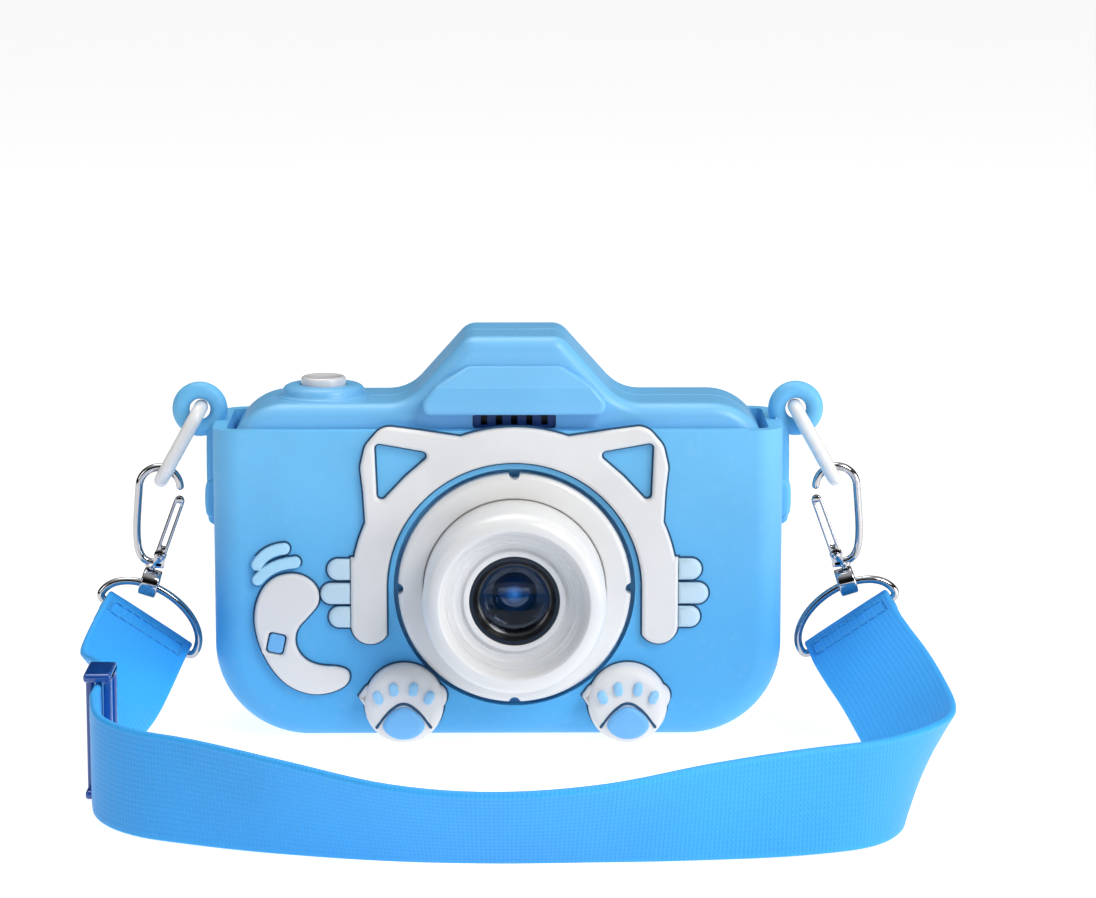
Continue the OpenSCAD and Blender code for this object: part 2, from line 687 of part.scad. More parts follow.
// Corners of a round wire's section at point i of a path in XZ
function wire_section(path, i, closed, r, sides) =
    let (n = len(path),
         a = path[closed ? (i + n - 1) % n : max(i - 1, 0)],
         b = path[closed ? (i + 1) % n : min(i + 1, n - 1)],
         t = unit(b - a))
    [for (k = [0 : sides - 1]) let (f = 360 * k / sides)
        [path[i][0] - r * cos(f) * t[1], r * sin(f), path[i][1] + r * cos(f) * t[0]]];

// A round wire swept along a path in XZ, as a loop or with two flat ends
module wire(path, r, closed = false, sides = 12) {
    n = len(path);
    points = [for (i = [0 : n - 1], c = wire_section(path, i, closed, r, sides)) c];
    skin = [for (i = [0 : closed ? n - 1 : n - 2], k = [0 : sides - 1], half = [0, 1])
        let (i2 = (i + 1) % n, k2 = (k + 1) % sides)
        half == 0 ? [sides * i + k, sides * i2 + k, sides * i2 + k2]
                  : [sides * i + k, sides * i2 + k2, sides * i + k2]];
    ends = closed ? [] : [[for (k = [sides - 1 : -1 : 0]) k],
        [for (k = [0 : sides - 1]) sides * (n - 1) + k]];
    polyhedron(points, concat(skin, ends), convexity = 8);
}

// Points of an arc in XZ
function arc(c, rx, rz, from, to, steps) =
    [for (i = [0 : steps]) let (a = from + (to - from) * i / steps) [c[0] + rx * cos(a), c[1] + rz * sin(a)]];

module link() {
    // The link's own frame: z up along it from the lug's hole centre, its loop across Y
    low = -link_reach;
    high = link_rise - link_half;
    path = concat(arc([0, high], link_half, link_half, 0, 180, 12),
        arc([0, low + link_half], link_half, link_half, 180, 360, 12));
    translate(lug_at) rotate([0, link_lean, 0]) rotate([0, 0, 90]) wire(path, link_wire, true, 16);
}

module hook() in_hook() {
    foot = [[-3.3, 13], [-3.1, 9], [-2.75, 6.5], [-2.3, 4.9], [-1.6, 3.9], [-0.6, 3.4], [0.9, 3.3]];
    wire(concat(arc(bow_c, bow_r, bow_r, 10, 180, 14), foot), hook_wire);
    // Ears that hold the gate's pin, on a saddle round the foot of the wire
    for (s = [0, 1]) mirror([0, s, 0]) {
        translate([gate_foot[0], 1.2, gate_foot[1]]) rotate([90, 0, 0]) cylinder(h = 0.5, r = 0.95, $fn = 48);
        translate([gate_foot[0] - 0.8, 0.7, 3]) cube([1.6, 0.5, 1.7]);
    }
    translate([gate_foot[0] - 0.8, -1.2, 2.8]) cube([1.6, 2.4, 0.9]);
    // Shank and its riveted head inside the swivel's eye
    translate([0, 0, 0.85]) cylinder(h = 3.2 - 0.85, r = 0.55, $fn = 48);
    translate([0, 0, 0.5]) cylinder(h = 0.4, r = 0.95, $fn = 48);
    translate([0, 0, eye_r + 0.33]) cylinder(h = 0.5, r = 1.1, $fn = 48);
}

// Sprung lever that closes the hook: a plate that narrows upwards and turns at its foot
module gate() in_hook() {
    top = 14.8;
    difference() {
        hull() {
            translate([gate_foot[0], 0.6, gate_foot[1]]) rotate([90, 0, 0]) cylinder(h = 1.2, r = 0.9, $fn = 32);
            translate([3.3, 0.6, top - 0.85]) rotate([90, 0, 0]) cylinder(h = 1.2, r = 0.85, $fn = 32);
        }
        translate([gate_foot[0], 1, gate_foot[1]]) rotate([90, 0, 0]) cylinder(h = 2, r = 0.45, $fn = 48);
    }
}

module gate_pin() in_hook()
    translate([gate_foot[0], 1.4, gate_foot[1]]) rotate([90, 0, 0]) cylinder(h = 2.8, r = 0.4, $fn = 48);

module swivel() in_hook() {
    difference() {
        rotate([0, 90 + eye_turn, 0]) rotate_extrude($fn = 64)
            translate([(eye_r + eye_hole_r) / 2, 0]) round_rect(eye_r - eye_hole_r, eye_w, 0.35);
        cylinder(h = 5, r = 0.6, $fn = 48);
    }
}

// D-ring: straight bar and a bow that is half an oval
module ring() {
    side = ring_half - ring_corner;
    path = concat(
        arc([0, ring_corner], ring_half, ring_h - ring_corner, 0, 180, 20),
        arc([-side, ring_corner], ring_corner, ring_corner, 200, 270, 4),
        arc([side, ring_corner], ring_corner, ring_corner, 270, 340, 4)
    );
    translate(bar_at) rotate([0, bar_tilt, 0]) wire(path, ring_wire, closed = true);
}

module link_left() color([0.95, 0.95, 0.95]) link();
module link_right() color([0.95, 0.95, 0.95]) mirror([1, 0, 0]) link();
module hook_left() color([0.8, 0.8, 0.82]) hook();
module hook_right() color([0.8, 0.8, 0.82]) mirror([1, 0, 0]) hook();
module gate_left() color([0.75, 0.75, 0.77]) gate();
module gate_right() color([0.75, 0.75, 0.77]) mirror([1, 0, 0]) gate();
module gate_pin_left() color([0.6, 0.6, 0.62]) gate_pin();
module gate_pin_right() color([0.6, 0.6, 0.62]) mirror([1, 0, 0]) gate_pin();
module swivel_left() color([0.7, 0.7, 0.72]) swivel();
module swivel_right() color([0.7, 0.7, 0.72]) mirror([1, 0, 0]) swivel();
module ring_left() color([0.8, 0.8, 0.82]) ring();
module ring_right() color([0.8, 0.8, 0.82]) mirror([1, 0, 0]) ring();

// ---------------------------------------------------------------- strap

// Corners of the webbing's section at one place on its centre line
function section(line, i) =
    let (p = line[i], last = len(line) - 1,
         t = unit(place(line[min(i + 1, last)]) - place(line[max(i - 1, 0)])),
         out = unit(cross(t, [0, 0, 1])), up = cross(out, t),
         wide = (up * cos(p[3]) + out * sin(p[3])) * strap_w / 2,
         thick = unit(cross(t, wide)) * strap_t / 2)
    [for (s = [[-1, -1], [1, -1], [1, 1], [-1, 1]]) place(p) + s[0] * wide + s[1] * thick];

module strap() color([0.3, 0.7, 1]) {
    line = route_line();
    rings = len(line);
    points = [for (i = [0 : rings - 1], c = section(line, i)) c];
    sides = [for (i = [0 : rings - 2], k = [0 : 3], half = [0, 1])
        let (a = 4 * i + k, b = 4 * i + (k + 1) % 4)
        half == 0 ? [a, b, b + 4] : [a, b + 4, a + 4]];
    polyhedron(points, concat([[3, 2, 1, 0]], sides,
        [[for (k = [0 : 3]) 4 * (rings - 1) + k]]), convexity = 8);
}

// The sewn loop that holds one D-ring's bar: a turn round the back of the bar and a
// tail that lies under the webbing
module strap_end() {
    inner = ring_wire + fit / 2;
    translate(bar_at) rotate([0, bar_tilt, 0]) {
        rotate([0, 90, 0]) translate([0, 0, -strap_w / 2])
            rotate_extrude(angle = 180, $fn = 48) translate([inner, 0]) square([strap_t, strap_w]);
        translate([-strap_w / 2, -strap_tail, -inner - strap_t]) cube([strap_w, strap_tail, strap_t]);
    }
}

module strap_ends() color([0.25, 0.62, 0.97]) {
    strap_end();
    mirror([1, 0, 0]) strap_end();
}

module strap_slider() color([0.08, 0.2, 0.55])
    translate([slider_at[0], slider_at[1], slider_at[2]]) {
        rail = (slider_h - strap_w) / 2 - slider_gap;
        inside = strap_t / 2 + slider_gap;
        for (s = [0, 1]) mirror([0, 0, s])
            translate([-inside - slider_bar, -slider_len / 2, strap_w / 2 + slider_gap])
                cube([2 * (inside + slider_bar), slider_len, rail]);
        for (y = [-slider_len / 2, slider_len / 2 - 2])
            translate([inside, y, -slider_h / 2]) cube([slider_bar, 2, slider_h]);
        translate([-inside - slider_bar, -1.2, -slider_h / 2]) cube([slider_bar, 2.4, slider_h]);
    }

silicone_case();
cat_relief();
cat_fingers();
tail_relief();
tail_badge();
tail_stripes();
paw_left();
paw_right();
paw_pads();
front_shell();
rear_shell();
speaker_grille();
lens_ring();
lens_barrel();
lens_bezel();
lens_glass();
lens_cell();
camera_module();
shutter_button();
shutter_switch();
viewfinder_window();
selfie_module();
screen_window();
lcd_panel();
power_button();
up_button();
left_button();
right_button();
down_button();
button_switches();
main_board();
board_chips();
battery();
speaker();
microphone();
usb_socket();
card_socket();
memory_card();
case_screws();
link_left();
link_right();
hook_left();
hook_right();
gate_left();
gate_right();
gate_pin_left();
gate_pin_right();
swivel_left();
swivel_right();
ring_left();
ring_right();
strap();
strap_ends();
strap_slider();
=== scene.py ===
"""Looks of a kids digital camera: soft case with a cat motif, lens, rear keys, snap hooks and neck strap."""

from __future__ import annotations

import json
import logging
import math
from collections.abc import Callable, Iterable, Sequence
from dataclasses import dataclass, field
from enum import Enum
from typing import Union

import bmesh
import bpy
import numpy as np
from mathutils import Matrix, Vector
from mathutils.geometry import tessellate_polygon

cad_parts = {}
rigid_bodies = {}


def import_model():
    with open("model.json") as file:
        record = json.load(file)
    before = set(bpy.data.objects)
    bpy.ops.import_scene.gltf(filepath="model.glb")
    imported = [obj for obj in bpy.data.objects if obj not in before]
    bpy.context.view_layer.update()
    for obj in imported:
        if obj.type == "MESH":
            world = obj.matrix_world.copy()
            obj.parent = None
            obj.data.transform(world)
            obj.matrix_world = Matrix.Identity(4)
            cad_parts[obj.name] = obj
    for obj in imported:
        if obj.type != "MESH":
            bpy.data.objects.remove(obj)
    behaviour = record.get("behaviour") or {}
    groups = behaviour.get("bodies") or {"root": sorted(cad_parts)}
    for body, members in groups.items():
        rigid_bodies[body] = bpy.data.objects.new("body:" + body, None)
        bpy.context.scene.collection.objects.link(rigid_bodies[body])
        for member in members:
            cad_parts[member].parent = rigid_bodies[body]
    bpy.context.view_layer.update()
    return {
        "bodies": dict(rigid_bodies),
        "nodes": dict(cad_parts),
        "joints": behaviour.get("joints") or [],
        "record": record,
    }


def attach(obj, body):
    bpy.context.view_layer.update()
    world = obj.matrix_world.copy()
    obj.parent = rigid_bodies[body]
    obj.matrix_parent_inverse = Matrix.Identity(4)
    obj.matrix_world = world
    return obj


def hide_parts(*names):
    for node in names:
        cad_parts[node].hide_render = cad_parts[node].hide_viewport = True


LOG = logging.getLogger("kids_camera")
MM = 0.001
X_AXIS, Y_AXIS, Z_AXIS = Vector((1, 0, 0)), Vector((0, 1, 0)), Vector((0, 0, 1))
Colour = tuple[float, float, float]
Flat = tuple[float, float]


class Body(str, Enum):
    """Moving bodies of the frame."""

    CAMERA = "camera"
    SHUTTER = "shutter"
    POWER_KEY = "power_key"
    UP_KEY = "up_key"
    LEFT_KEY = "left_key"
    RIGHT_KEY = "right_key"
    DOWN_KEY = "down_key"
    SLIDER = "slider"


class Side(Enum):
    """Left and right end of the strap, as seen facing the lens."""

    LEFT = "left"
    RIGHT = "right"


# ------------------------------------------------------------------ shader arithmetic


class Sock:
    """A shader value that takes part in Python arithmetic; each operator adds one Math node."""

    def __init__(self, shader: Shader, socket: bpy.types.NodeSocket) -> None:
        """Wraps a node's output socket."""
        self.shader = shader
        self.socket = socket

    def _math(self, operation: str, *values: Value) -> Sock:
        """Adds a Math node of that operation on the values."""
        return self.shader.node("ShaderNodeMath", {"operation": operation}, dict(enumerate(values)))

    def __add__(self, other: Value) -> Sock:
        """Sum."""
        return self._math("ADD", self, other)

    def __sub__(self, other: Value) -> Sock:
        """Difference."""
        return self._math("SUBTRACT", self, other)

    def __rsub__(self, other: Value) -> Sock:
        """Difference with the plain number first."""
        return self._math("SUBTRACT", other, self)

    def __mul__(self, other: Value) -> Sock:
        """Product."""
        return self._math("MULTIPLY", self, other)

    def __truediv__(self, other: Value) -> Sock:
        """Quotient."""
        return self._math("DIVIDE", self, other)

    def __pow__(self, other: Value) -> Sock:
        """Power."""
        return self._math("POWER", self, other)

    __radd__ = __add__
    __rmul__ = __mul__

    def sine(self) -> Sock:
        """Sine of an angle in radians."""
        return self._math("SINE", self)

    def distance(self) -> Sock:
        """Absolute value."""
        return self._math("ABSOLUTE", self)

    def most(self, other: Value) -> Sock:
        """Larger of the two."""
        return self._math("MAXIMUM", self, other)

    def root(self) -> Sock:
        """Square root."""
        return self._math("SQRT", self)

    def step(self, low: float, high: float) -> Sock:
        """Rises smoothly from 0 at low to 1 at high.

        Args:
            low: value where the result is 0.
            high: value where the result is 1; it may be below low.

        Returns:
            The mask.
        """
        return self.shader.node(
            "ShaderNodeMapRange",
            {"interpolation_type": "SMOOTHSTEP"},
            {"Value": self, "From Min": low, "From Max": high},
        )


Value = Union[Sock, float, Sequence[float]]


class Shader:
    """One material under construction around a Principled shader."""

    def __init__(self, name: str) -> None:
        """Starts an empty material of that name."""
        self.material = bpy.data.materials.new(name)
        self.material.use_nodes = True
        self.tree = self.material.node_tree
        self.base = self.tree.nodes["Principled BSDF"]

    def node(
        self,
        kind: str,
        settings: dict[str, object] | None = None,
        inputs: dict[str | int, Value] | None = None,
        out: str | int = 0,
    ) -> Sock:
        """Adds any node.

        Args:
            kind: the node's type.
            settings: its properties, set first; "stops" is a ramp's list of (place, colour).
            inputs: numbers, colours or links for its sockets.
            out: the output to hand back.

        Returns:
            That output.
        """
        made = self.tree.nodes.new(kind)
        for key, value in (settings or {}).items():
            if key == "stops":
                elements = made.color_ramp.elements
                while len(elements) < len(value):
                    elements.new(0.5)
                for element, (place, colour) in zip(elements, value):
                    element.position, element.color = place, (*colour, 1)
            else:
                setattr(made, key, value)
        for key, value in (inputs or {}).items():
            self.feed(made.inputs[key], value)
        return Sock(self, made.outputs[out])

    def feed(self, socket: bpy.types.NodeSocket, value: Value) -> None:
        """Links or sets a socket."""
        if isinstance(value, Sock):
            self.tree.links.new(value.socket, socket)
        elif isinstance(value, (int, float)):
            socket.default_value = value
        else:
            socket.default_value = (*value, 1) if len(socket.default_value) == 4 else tuple(value)

    def place(self) -> Sock:
        """Position on the object, in millimetres of the part's own frame."""
        at = self.node("ShaderNodeTexCoord", out="Object")
        return self.node("ShaderNodeVectorMath", {"operation": "SCALE"}, {0: at, "Scale": 1 / MM})

    def along(self) -> Sock:
        """Position along and across a woven strip, in millimetres."""
        return self.node("ShaderNodeAttribute", {"attribute_name": "weave_at"}, out="Vector")

    def axes(self, vector: Sock) -> list[Sock]:
        """The three parts of a vector."""
        split = self.node("ShaderNodeSeparateXYZ", None, {0: vector})
        return [Sock(self, o) for o in split.socket.node.outputs]

    def noise(self, vector: Sock, scale: float, detail: float = 2.0, rough: float = 0.5) -> Sock:
        """Noise value from 0 to 1.

        Args:
            vector: where it is read.
            scale: features per millimetre.
            detail: octaves.
            rough: weight of the finer octaves.

        Returns:
            The value.
        """
        return self.node(
            "ShaderNodeTexNoise", None, {"Vector": vector, "Scale": scale, "Detail": detail, "Roughness": rough}
        )

    def mix(self, share: Value, first: Value, second: Value) -> Sock:
        """Colour between two colours."""
        return self.node("ShaderNodeMix", {"data_type": "RGBA"}, {0: share, 6: first, 7: second}, 2)

    def bump(self, height: Sock, depth: float, strength: float = 1.0) -> Sock:
        """Normal of a relief of that depth in millimetres."""
        return self.node("ShaderNodeBump", None, {"Strength": strength, "Distance": depth * MM, "Height": height})

    def dress(self, **sockets: Value) -> bpy.types.Material:
        """Sets the main shader's sockets, named with _ for a space.

        Args:
            sockets: values or links.

        Returns:
            The finished material.
        """
        for key, value in sockets.items():
            self.feed(self.base.inputs[key.replace("_", " ")], value)
        return self.material


# ------------------------------------------------------------------ finishes


def shade(colour: Colour, share: float) -> Colour:
    """Colour made darker, or lighter above 1."""
    return tuple(min(1.0, c * share) for c in colour)


@dataclass(frozen=True)
class Silicone:
    """Soft satin silicone with a fine skin and a faint bloom of handling, and painted shade that deepens it towards the
    bottom when foot is below 1.
    """

    name: str
    colour: Colour
    rough: float = 0.42
    # share of the colour kept at the bottom; below 1 it paints shade that darkens and deepens the lower part
    foot: float = 1.0

    def make(self) -> bpy.types.Material:
        """Builds the material."""
        s = Shader(self.name)
        at = s.place()
        cloud = s.noise(at, 0.07, 3)
        _, _, up = s.axes(at)
        skin = s.noise(at, 5.0, 3, 0.6)
        dust = s.noise(at, 0.6, 6, 0.7).step(0.52, 0.75)
        tone = s.mix(cloud.step(0.3, 0.7), shade(self.colour, 0.96), shade(self.colour, 1.04))
        # Painted shade: the colour darkens and deepens from the top down to the bottom of the piece.
        painted_low_shade = (self.colour[0] * self.foot**4, self.colour[1] * self.foot, self.colour[2])
        deep = s.mix(up.step(48.0, 2.0), tone, painted_low_shade)
        return s.dress(
            Base_Color=s.mix(dust * 0.05, deep, (0.9, 0.93, 0.96)),
            Roughness=self.rough + cloud * 0.06 + dust * 0.08,
            Normal=s.bump(skin, 0.02, 0.5),
            Specular_IOR_Level=0.42,
            Subsurface_Weight=0.08,
            Subsurface_Radius=(0.6, 0.8, 1.0),
            Subsurface_Scale=MM,
        )


@dataclass(frozen=True)
class Moulding:
    """Injection moulded plastic: spark-eroded grain, flow clouds and hairline wear."""

    name: str
    colour: Colour
    rough: float = 0.35
    grain: float = 0.012
    coat: float = 0.0
    sheen_spot: float = 0.03

    def make(self) -> bpy.types.Material:
        """Builds the material."""
        s = Shader(self.name)
        at = s.place()
        cloud = s.noise(at, 0.05, 2)
        grit = s.noise(at, 9.0, 2, 0.55)
        stretched = s.node("ShaderNodeMapping", None, {"Vector": at, "Rotation": (0.3, 0.5, 0.8), "Scale": (0.2, 6, 0.2)})
        hair = s.noise(stretched, 1.0, 4, 0.7).step(0.64, 0.72)
        tone = s.mix(cloud.step(0.3, 0.7), shade(self.colour, 0.96), shade(self.colour, 1.03))
        return s.dress(
            Base_Color=s.mix(hair * self.sheen_spot, tone, (0.95, 0.96, 0.97)),
            Roughness=self.rough + cloud * 0.05 + hair * 0.06,
            Normal=s.bump(grit, self.grain, 0.6),
            Coat_Weight=self.coat,
            Coat_Roughness=0.12,
            Specular_IOR_Level=0.5,
        )


@dataclass(frozen=True)
class TurnedMoulding:
    """Glossy plastic of a turned piece, with fine steps round the lens in its cone, each step darkened with painted
    shade.
    """

    name: str
    colour: Colour
    centre: Flat
    inner: float
    outer: float

    def make(self) -> bpy.types.Material:
        """Builds the material."""
        s = Shader(self.name)
        at = s.place()
        x, _, z = s.axes(at)
        reach = ((x - self.centre[0]) ** 2 + (z - self.centre[1]) ** 2).root()
        within = reach.step(self.inner - 0.2, self.inner) * reach.step(self.outer + 0.2, self.outer)
        steps = (reach * (2 * math.pi / 0.42)).sine().step(-0.4, 0.4) * within
        grit = s.noise(at, 9.0, 2, 0.55)
        cloud = s.noise(at, 0.06, 2)
        return s.dress(
            # The steps darken the colour a little: painted shade in the grooves, while the bump carries the steps
            # themselves.
            Base_Color=s.mix(steps * 0.1, s.mix(cloud, shade(self.colour, 0.97), self.colour), shade(self.colour, 0.7)),
            Roughness=0.27 + cloud * 0.05,
            Normal=s.bump(steps + grit * 0.06, 0.05, 0.8),
            Coat_Weight=0.25,
            Coat_Roughness=0.12,
        )


@dataclass(frozen=True)
class Plating:
    """Bright or dull metal with fine drawing lines and small marks."""

    name: str
    colour: Colour
    rough: float = 0.1
    line: float = 0.004

    def make(self) -> bpy.types.Material:
        """Builds the material."""
        s = Shader(self.name)
        at = s.place()
        drawn = s.noise(s.node("ShaderNodeMapping", None, {"Vector": at, "Scale": (6, 6, 0.7)}), 1.0, 4, 0.6)
        spot = s.noise(at, 1.3, 4, 0.6).step(0.55, 0.8)
        return s.dress(
            Base_Color=s.mix(spot * 0.4, self.colour, shade(self.colour, 0.62)),
            Metallic=1.0,
            Roughness=self.rough + spot * 0.12 + drawn * 0.05,
            Normal=s.bump(drawn, self.line, 0.5),
        )


@dataclass(frozen=True)
class Webbing:
    """Flat polyester webbing: ribs across it, warp yarns along it, painted highlights on the rib crests and along the
    selvedges, and painted shade between the warp yarns.
    """

    name: str
    colour: Colour
    rib: float = 0.62
    yarn: float = 0.8

    def make(self) -> bpy.types.Material:
        """Builds the material."""
        s = Shader(self.name)
        at = s.along()
        run, across, _ = s.axes(at)
        fuzz = s.noise(at, 2.6, 4, 0.65)
        rows = (run * (2 * math.pi / self.rib) + (across * (2 * math.pi / self.yarn)).sine() * 0.9).sine()
        warps = (across * (2 * math.pi / self.yarn)).sine()
        weave = rows * 0.55 + warps * 0.35 + fuzz * 0.5
        # Lighter along the selvedges: painted highlight on their rounded edges.
        edge = across.distance().step(7.0, 7.5)
        fade = s.noise(at, 0.035, 2).step(0.3, 0.7)
        tone = s.mix(fade, shade(self.colour, 0.92), shade(self.colour, 1.05))
        # Painted highlight: the rib crests are lightened.
        lit = s.mix((rows * 0.5 + 0.5) * 0.22, tone, shade(self.colour, 1.45))
        # Painted shade: the colour darkens between the warp yarns.
        warp_shade = s.mix((0.5 - warps * 0.5) * 0.16, lit, shade(self.colour, 0.66))
        return s.dress(
            Base_Color=s.mix(edge * 0.3, warp_shade, shade(self.colour, 1.3)),
            Roughness=0.44 + fuzz * 0.15,
            Normal=s.bump(weave, 0.07, 0.6),
            Sheen_Weight=0.08,
            Sheen_Roughness=0.4,
            Specular_IOR_Level=0.5,
        )


@dataclass(frozen=True)
class Thread:
    """Twisted sewing thread, darkened along its twist with painted shade between the plies."""

    name: str
    colour: Colour

    def make(self) -> bpy.types.Material:
        """Builds the material."""
        s = Shader(self.name)
        at = s.place()
        x, y, z = s.axes(at)
        twist = ((x + y + z) * 16.0).sine()
        return s.dress(
            # The twist darkens the colour in bands: painted shade between the plies.
            Base_Color=s.mix(twist * 0.25 + 0.25, self.colour, shade(self.colour, 0.7)),
            Roughness=0.55 + s.noise(at, 3.0) * 0.1,
            Normal=s.bump(twist, 0.04),
        )


@dataclass(frozen=True)
class BlackGlass:
    """Black printed window with a polished face and faint wiping marks."""

    name: str
    colour: Colour = (0.006, 0.006, 0.008)

    def make(self) -> bpy.types.Material:
        """Builds the material."""
        s = Shader(self.name)
        at = s.place()
        smear = s.noise(s.node("ShaderNodeMapping", None, {"Vector": at, "Scale": (0.12, 1, 0.03)}), 1.0, 5, 0.7)
        return s.dress(
            Base_Color=s.mix(smear * 0.3, self.colour, (0.02, 0.022, 0.03)),
            Roughness=0.05 + smear.step(0.5, 0.9) * 0.1,
            Specular_IOR_Level=0.6,
        )


@dataclass(frozen=True)
class PictureWindow:
    """Black screen window with a lit picture of hills under a morning sky behind it."""

    name: str
    centre: Flat = (2.6, 27.7)
    half: Flat = (20.32, 15.24)

    def make(self) -> bpy.types.Material:
        """Builds the material."""
        s = Shader(self.name)
        at = s.place()
        x, _, z = s.axes(at)
        u, v = (self.centre[0] - x) / self.half[0], (z - self.centre[1]) / self.half[1]
        inside = u.distance().step(1.002, 0.998) * v.distance().step(1.002, 0.998)
        flat = s.node("ShaderNodeCombineXYZ", None, {0: u, 1: v})
        sky = s.node(
            "ShaderNodeValToRGB",
            {"stops": [(0.0, (0.98, 0.86, 0.62)), (0.45, (0.45, 0.74, 0.95)), (1.0, (0.10, 0.36, 0.80))]},
            {0: v * 0.5 + 0.45},
        )
        puff = s.node("ShaderNodeMapping", None, {"Vector": flat, "Scale": (1.6, 4.2, 1)})
        cloud = s.noise(puff, 1.5, 5, 0.55).step(0.54, 0.66) * v.step(0.1, 0.4)
        picture = s.mix(cloud * 0.9, sky, (1, 1, 1))
        sun = ((u - 0.42) ** 2 * 1.78 + (v - 0.5) ** 2).root().step(0.17, 0.15)
        picture = s.mix(sun, picture, (1.0, 0.85, 0.25))
        ridges = (
            (0.12, 2.3, 0.4, 0.14, (0.16, 0.36, 0.42), (0.30, 0.52, 0.50)),
            (-0.18, 3.1, 2.0, 0.13, (0.10, 0.38, 0.16), (0.24, 0.56, 0.20)),
            (-0.50, 2.1, 4.1, 0.12, (0.20, 0.52, 0.08), (0.46, 0.72, 0.14)),
        )
        for level, pitch, start, rise, dark, light in ridges:
            line = (u * pitch + start).sine() * rise + (u * pitch * 2.7 + start * 3).sine() * rise * 0.3 + level
            mottle = s.noise(flat, 14, 3).step(0.35, 0.65)
            picture = s.mix((v - line).step(0.008, -0.008), picture, s.mix(mottle, dark, light))
        petals = s.node("ShaderNodeTexVoronoi", None, {"Vector": flat, "Scale": 13.0})
        bloom = petals.step(0.2, 0.15) * v.step(-0.62, -0.7)
        picture = s.mix(bloom, picture, (0.95, 0.32, 0.45))
        smear = s.noise(s.node("ShaderNodeMapping", None, {"Vector": at, "Scale": (0.1, 1, 0.03)}), 1.0, 5, 0.7)
        return s.dress(
            Base_Color=s.mix(inside, (0.006, 0.006, 0.008), s.mix(0.75, picture, (0, 0, 0))),
            Emission_Color=s.mix(inside, (0, 0, 0), picture),
            Emission_Strength=0.62,
            Roughness=0.05 + smear.step(0.5, 0.9) * 0.08,
            Specular_IOR_Level=0.55,
        )


@dataclass(frozen=True)
class GlowingGlintOptic:
    """Deep lens element with a painted blue reflection in the middle that glows, though it is no lamp."""

    name: str
    centre: Flat
    radius: float

    def make(self) -> bpy.types.Material:
        """Builds the material."""
        s = Shader(self.name)
        x, _, z = s.axes(s.place())
        reach = ((x - self.centre[0]) ** 2 + (z - self.centre[1]) ** 2).root() / self.radius
        # Painted reflection: a blue glint in the middle that fades to black, used both as colour and as glow.
        stops = [
            (0.0, (0.10, 0.36, 0.72)), (0.2, (0.025, 0.15, 0.40)),
            (0.42, (0.004, 0.022, 0.075)), (1.0, (0.002, 0.003, 0.006)),
        ]
        tint = s.node("ShaderNodeValToRGB", {"stops": stops}, {0: reach})
        return s.dress(
            Base_Color=tint,
            Emission_Color=tint,
            Emission_Strength=0.3,
            Roughness=0.04 + s.noise(s.place(), 2.0) * 0.02,
            Coat_Weight=1.0,
            Coat_Roughness=0.02,
        )


@dataclass(frozen=True)
class ClearOptic:
    """Clear front element with a faint blue cast."""

    name: str
    tint: Colour = (0.72, 0.82, 1.0)

    def make(self) -> bpy.types.Material:
        """Builds the material."""
        s = Shader(self.name)
        smear = s.noise(s.place(), 0.8, 3)
        return s.dress(
            Base_Color=s.mix(smear * 0.3, self.tint, (0.85, 0.9, 1.0)),
            Roughness=0.01 + smear * 0.02,
            Transmission_Weight=1.0,
            IOR=1.25,
        )


@dataclass(frozen=True)
class BoardFinish:
    """Green solder resist with copper tracks, pads and through-holes."""

    name: str

    def make(self) -> bpy.types.Material:
        """Builds the material."""
        s = Shader(self.name)
        at = s.place()
        x, _, z = s.axes(at)
        bend = s.noise(at, 0.12, 1) * 5.0
        tracks = ((x + bend) * 4.4).sine().step(0.55, 0.75).most(((z + bend) * 4.4).sine().step(0.72, 0.86))
        holes = s.node("ShaderNodeTexVoronoi", None, {"Vector": at, "Scale": 0.32}).step(0.16, 0.12)
        resist = s.mix(tracks * 0.6, (0.012, 0.11, 0.035), (0.03, 0.24, 0.07))
        return s.dress(
            Base_Color=s.mix(holes, resist, (0.75, 0.6, 0.3)),
            Metallic=holes * 0.9,
            Roughness=0.32 + s.noise(at, 1.5) * 0.1,
            Normal=s.bump(tracks + holes, 0.03),
            Coat_Weight=0.3,
        )


@dataclass(frozen=True)
class FoilFinish:
    """Crinkled aluminium pouch foil, darker where the crinkles are low: painted shade in the creases."""

    name: str
    colour: Colour

    def make(self) -> bpy.types.Material:
        """Builds the material."""
        s = Shader(self.name)
        at = s.place()
        crease = s.noise(at, 0.5, 5, 0.65)
        return s.dress(
            # Painted shade: darker where the crease bump is low.
            Base_Color=s.mix(crease, shade(self.colour, 0.8), self.colour),
            Metallic=1.0,
            Roughness=0.28 + crease * 0.15,
            Normal=s.bump(crease, 0.25, 0.6),
        )


SKY_BLUE: Colour = (0.150, 0.510, 0.850)
LIGHT_BLUE: Colour = (0.420, 0.735, 0.940)
MOTIF_WHITE: Colour = (0.780, 0.770, 0.765)

LENS_CENTRE: Flat = (2.6, 24.7)
REAR_LENS: Flat = (2.6, 54.9)
HUMP_MIDDLE = 2.6
SHUTTER_X = -28.0
LUG = Vector((-47.9, 0, 51.6))
RING_BAR = Vector((-57.3, 0, 15.8))
RING_TILT = 34.0
LEFT_KEY_AT: Flat = (-27.6, 22.4)
RIGHT_KEY_AT: Flat = (-33.3, 22.4)


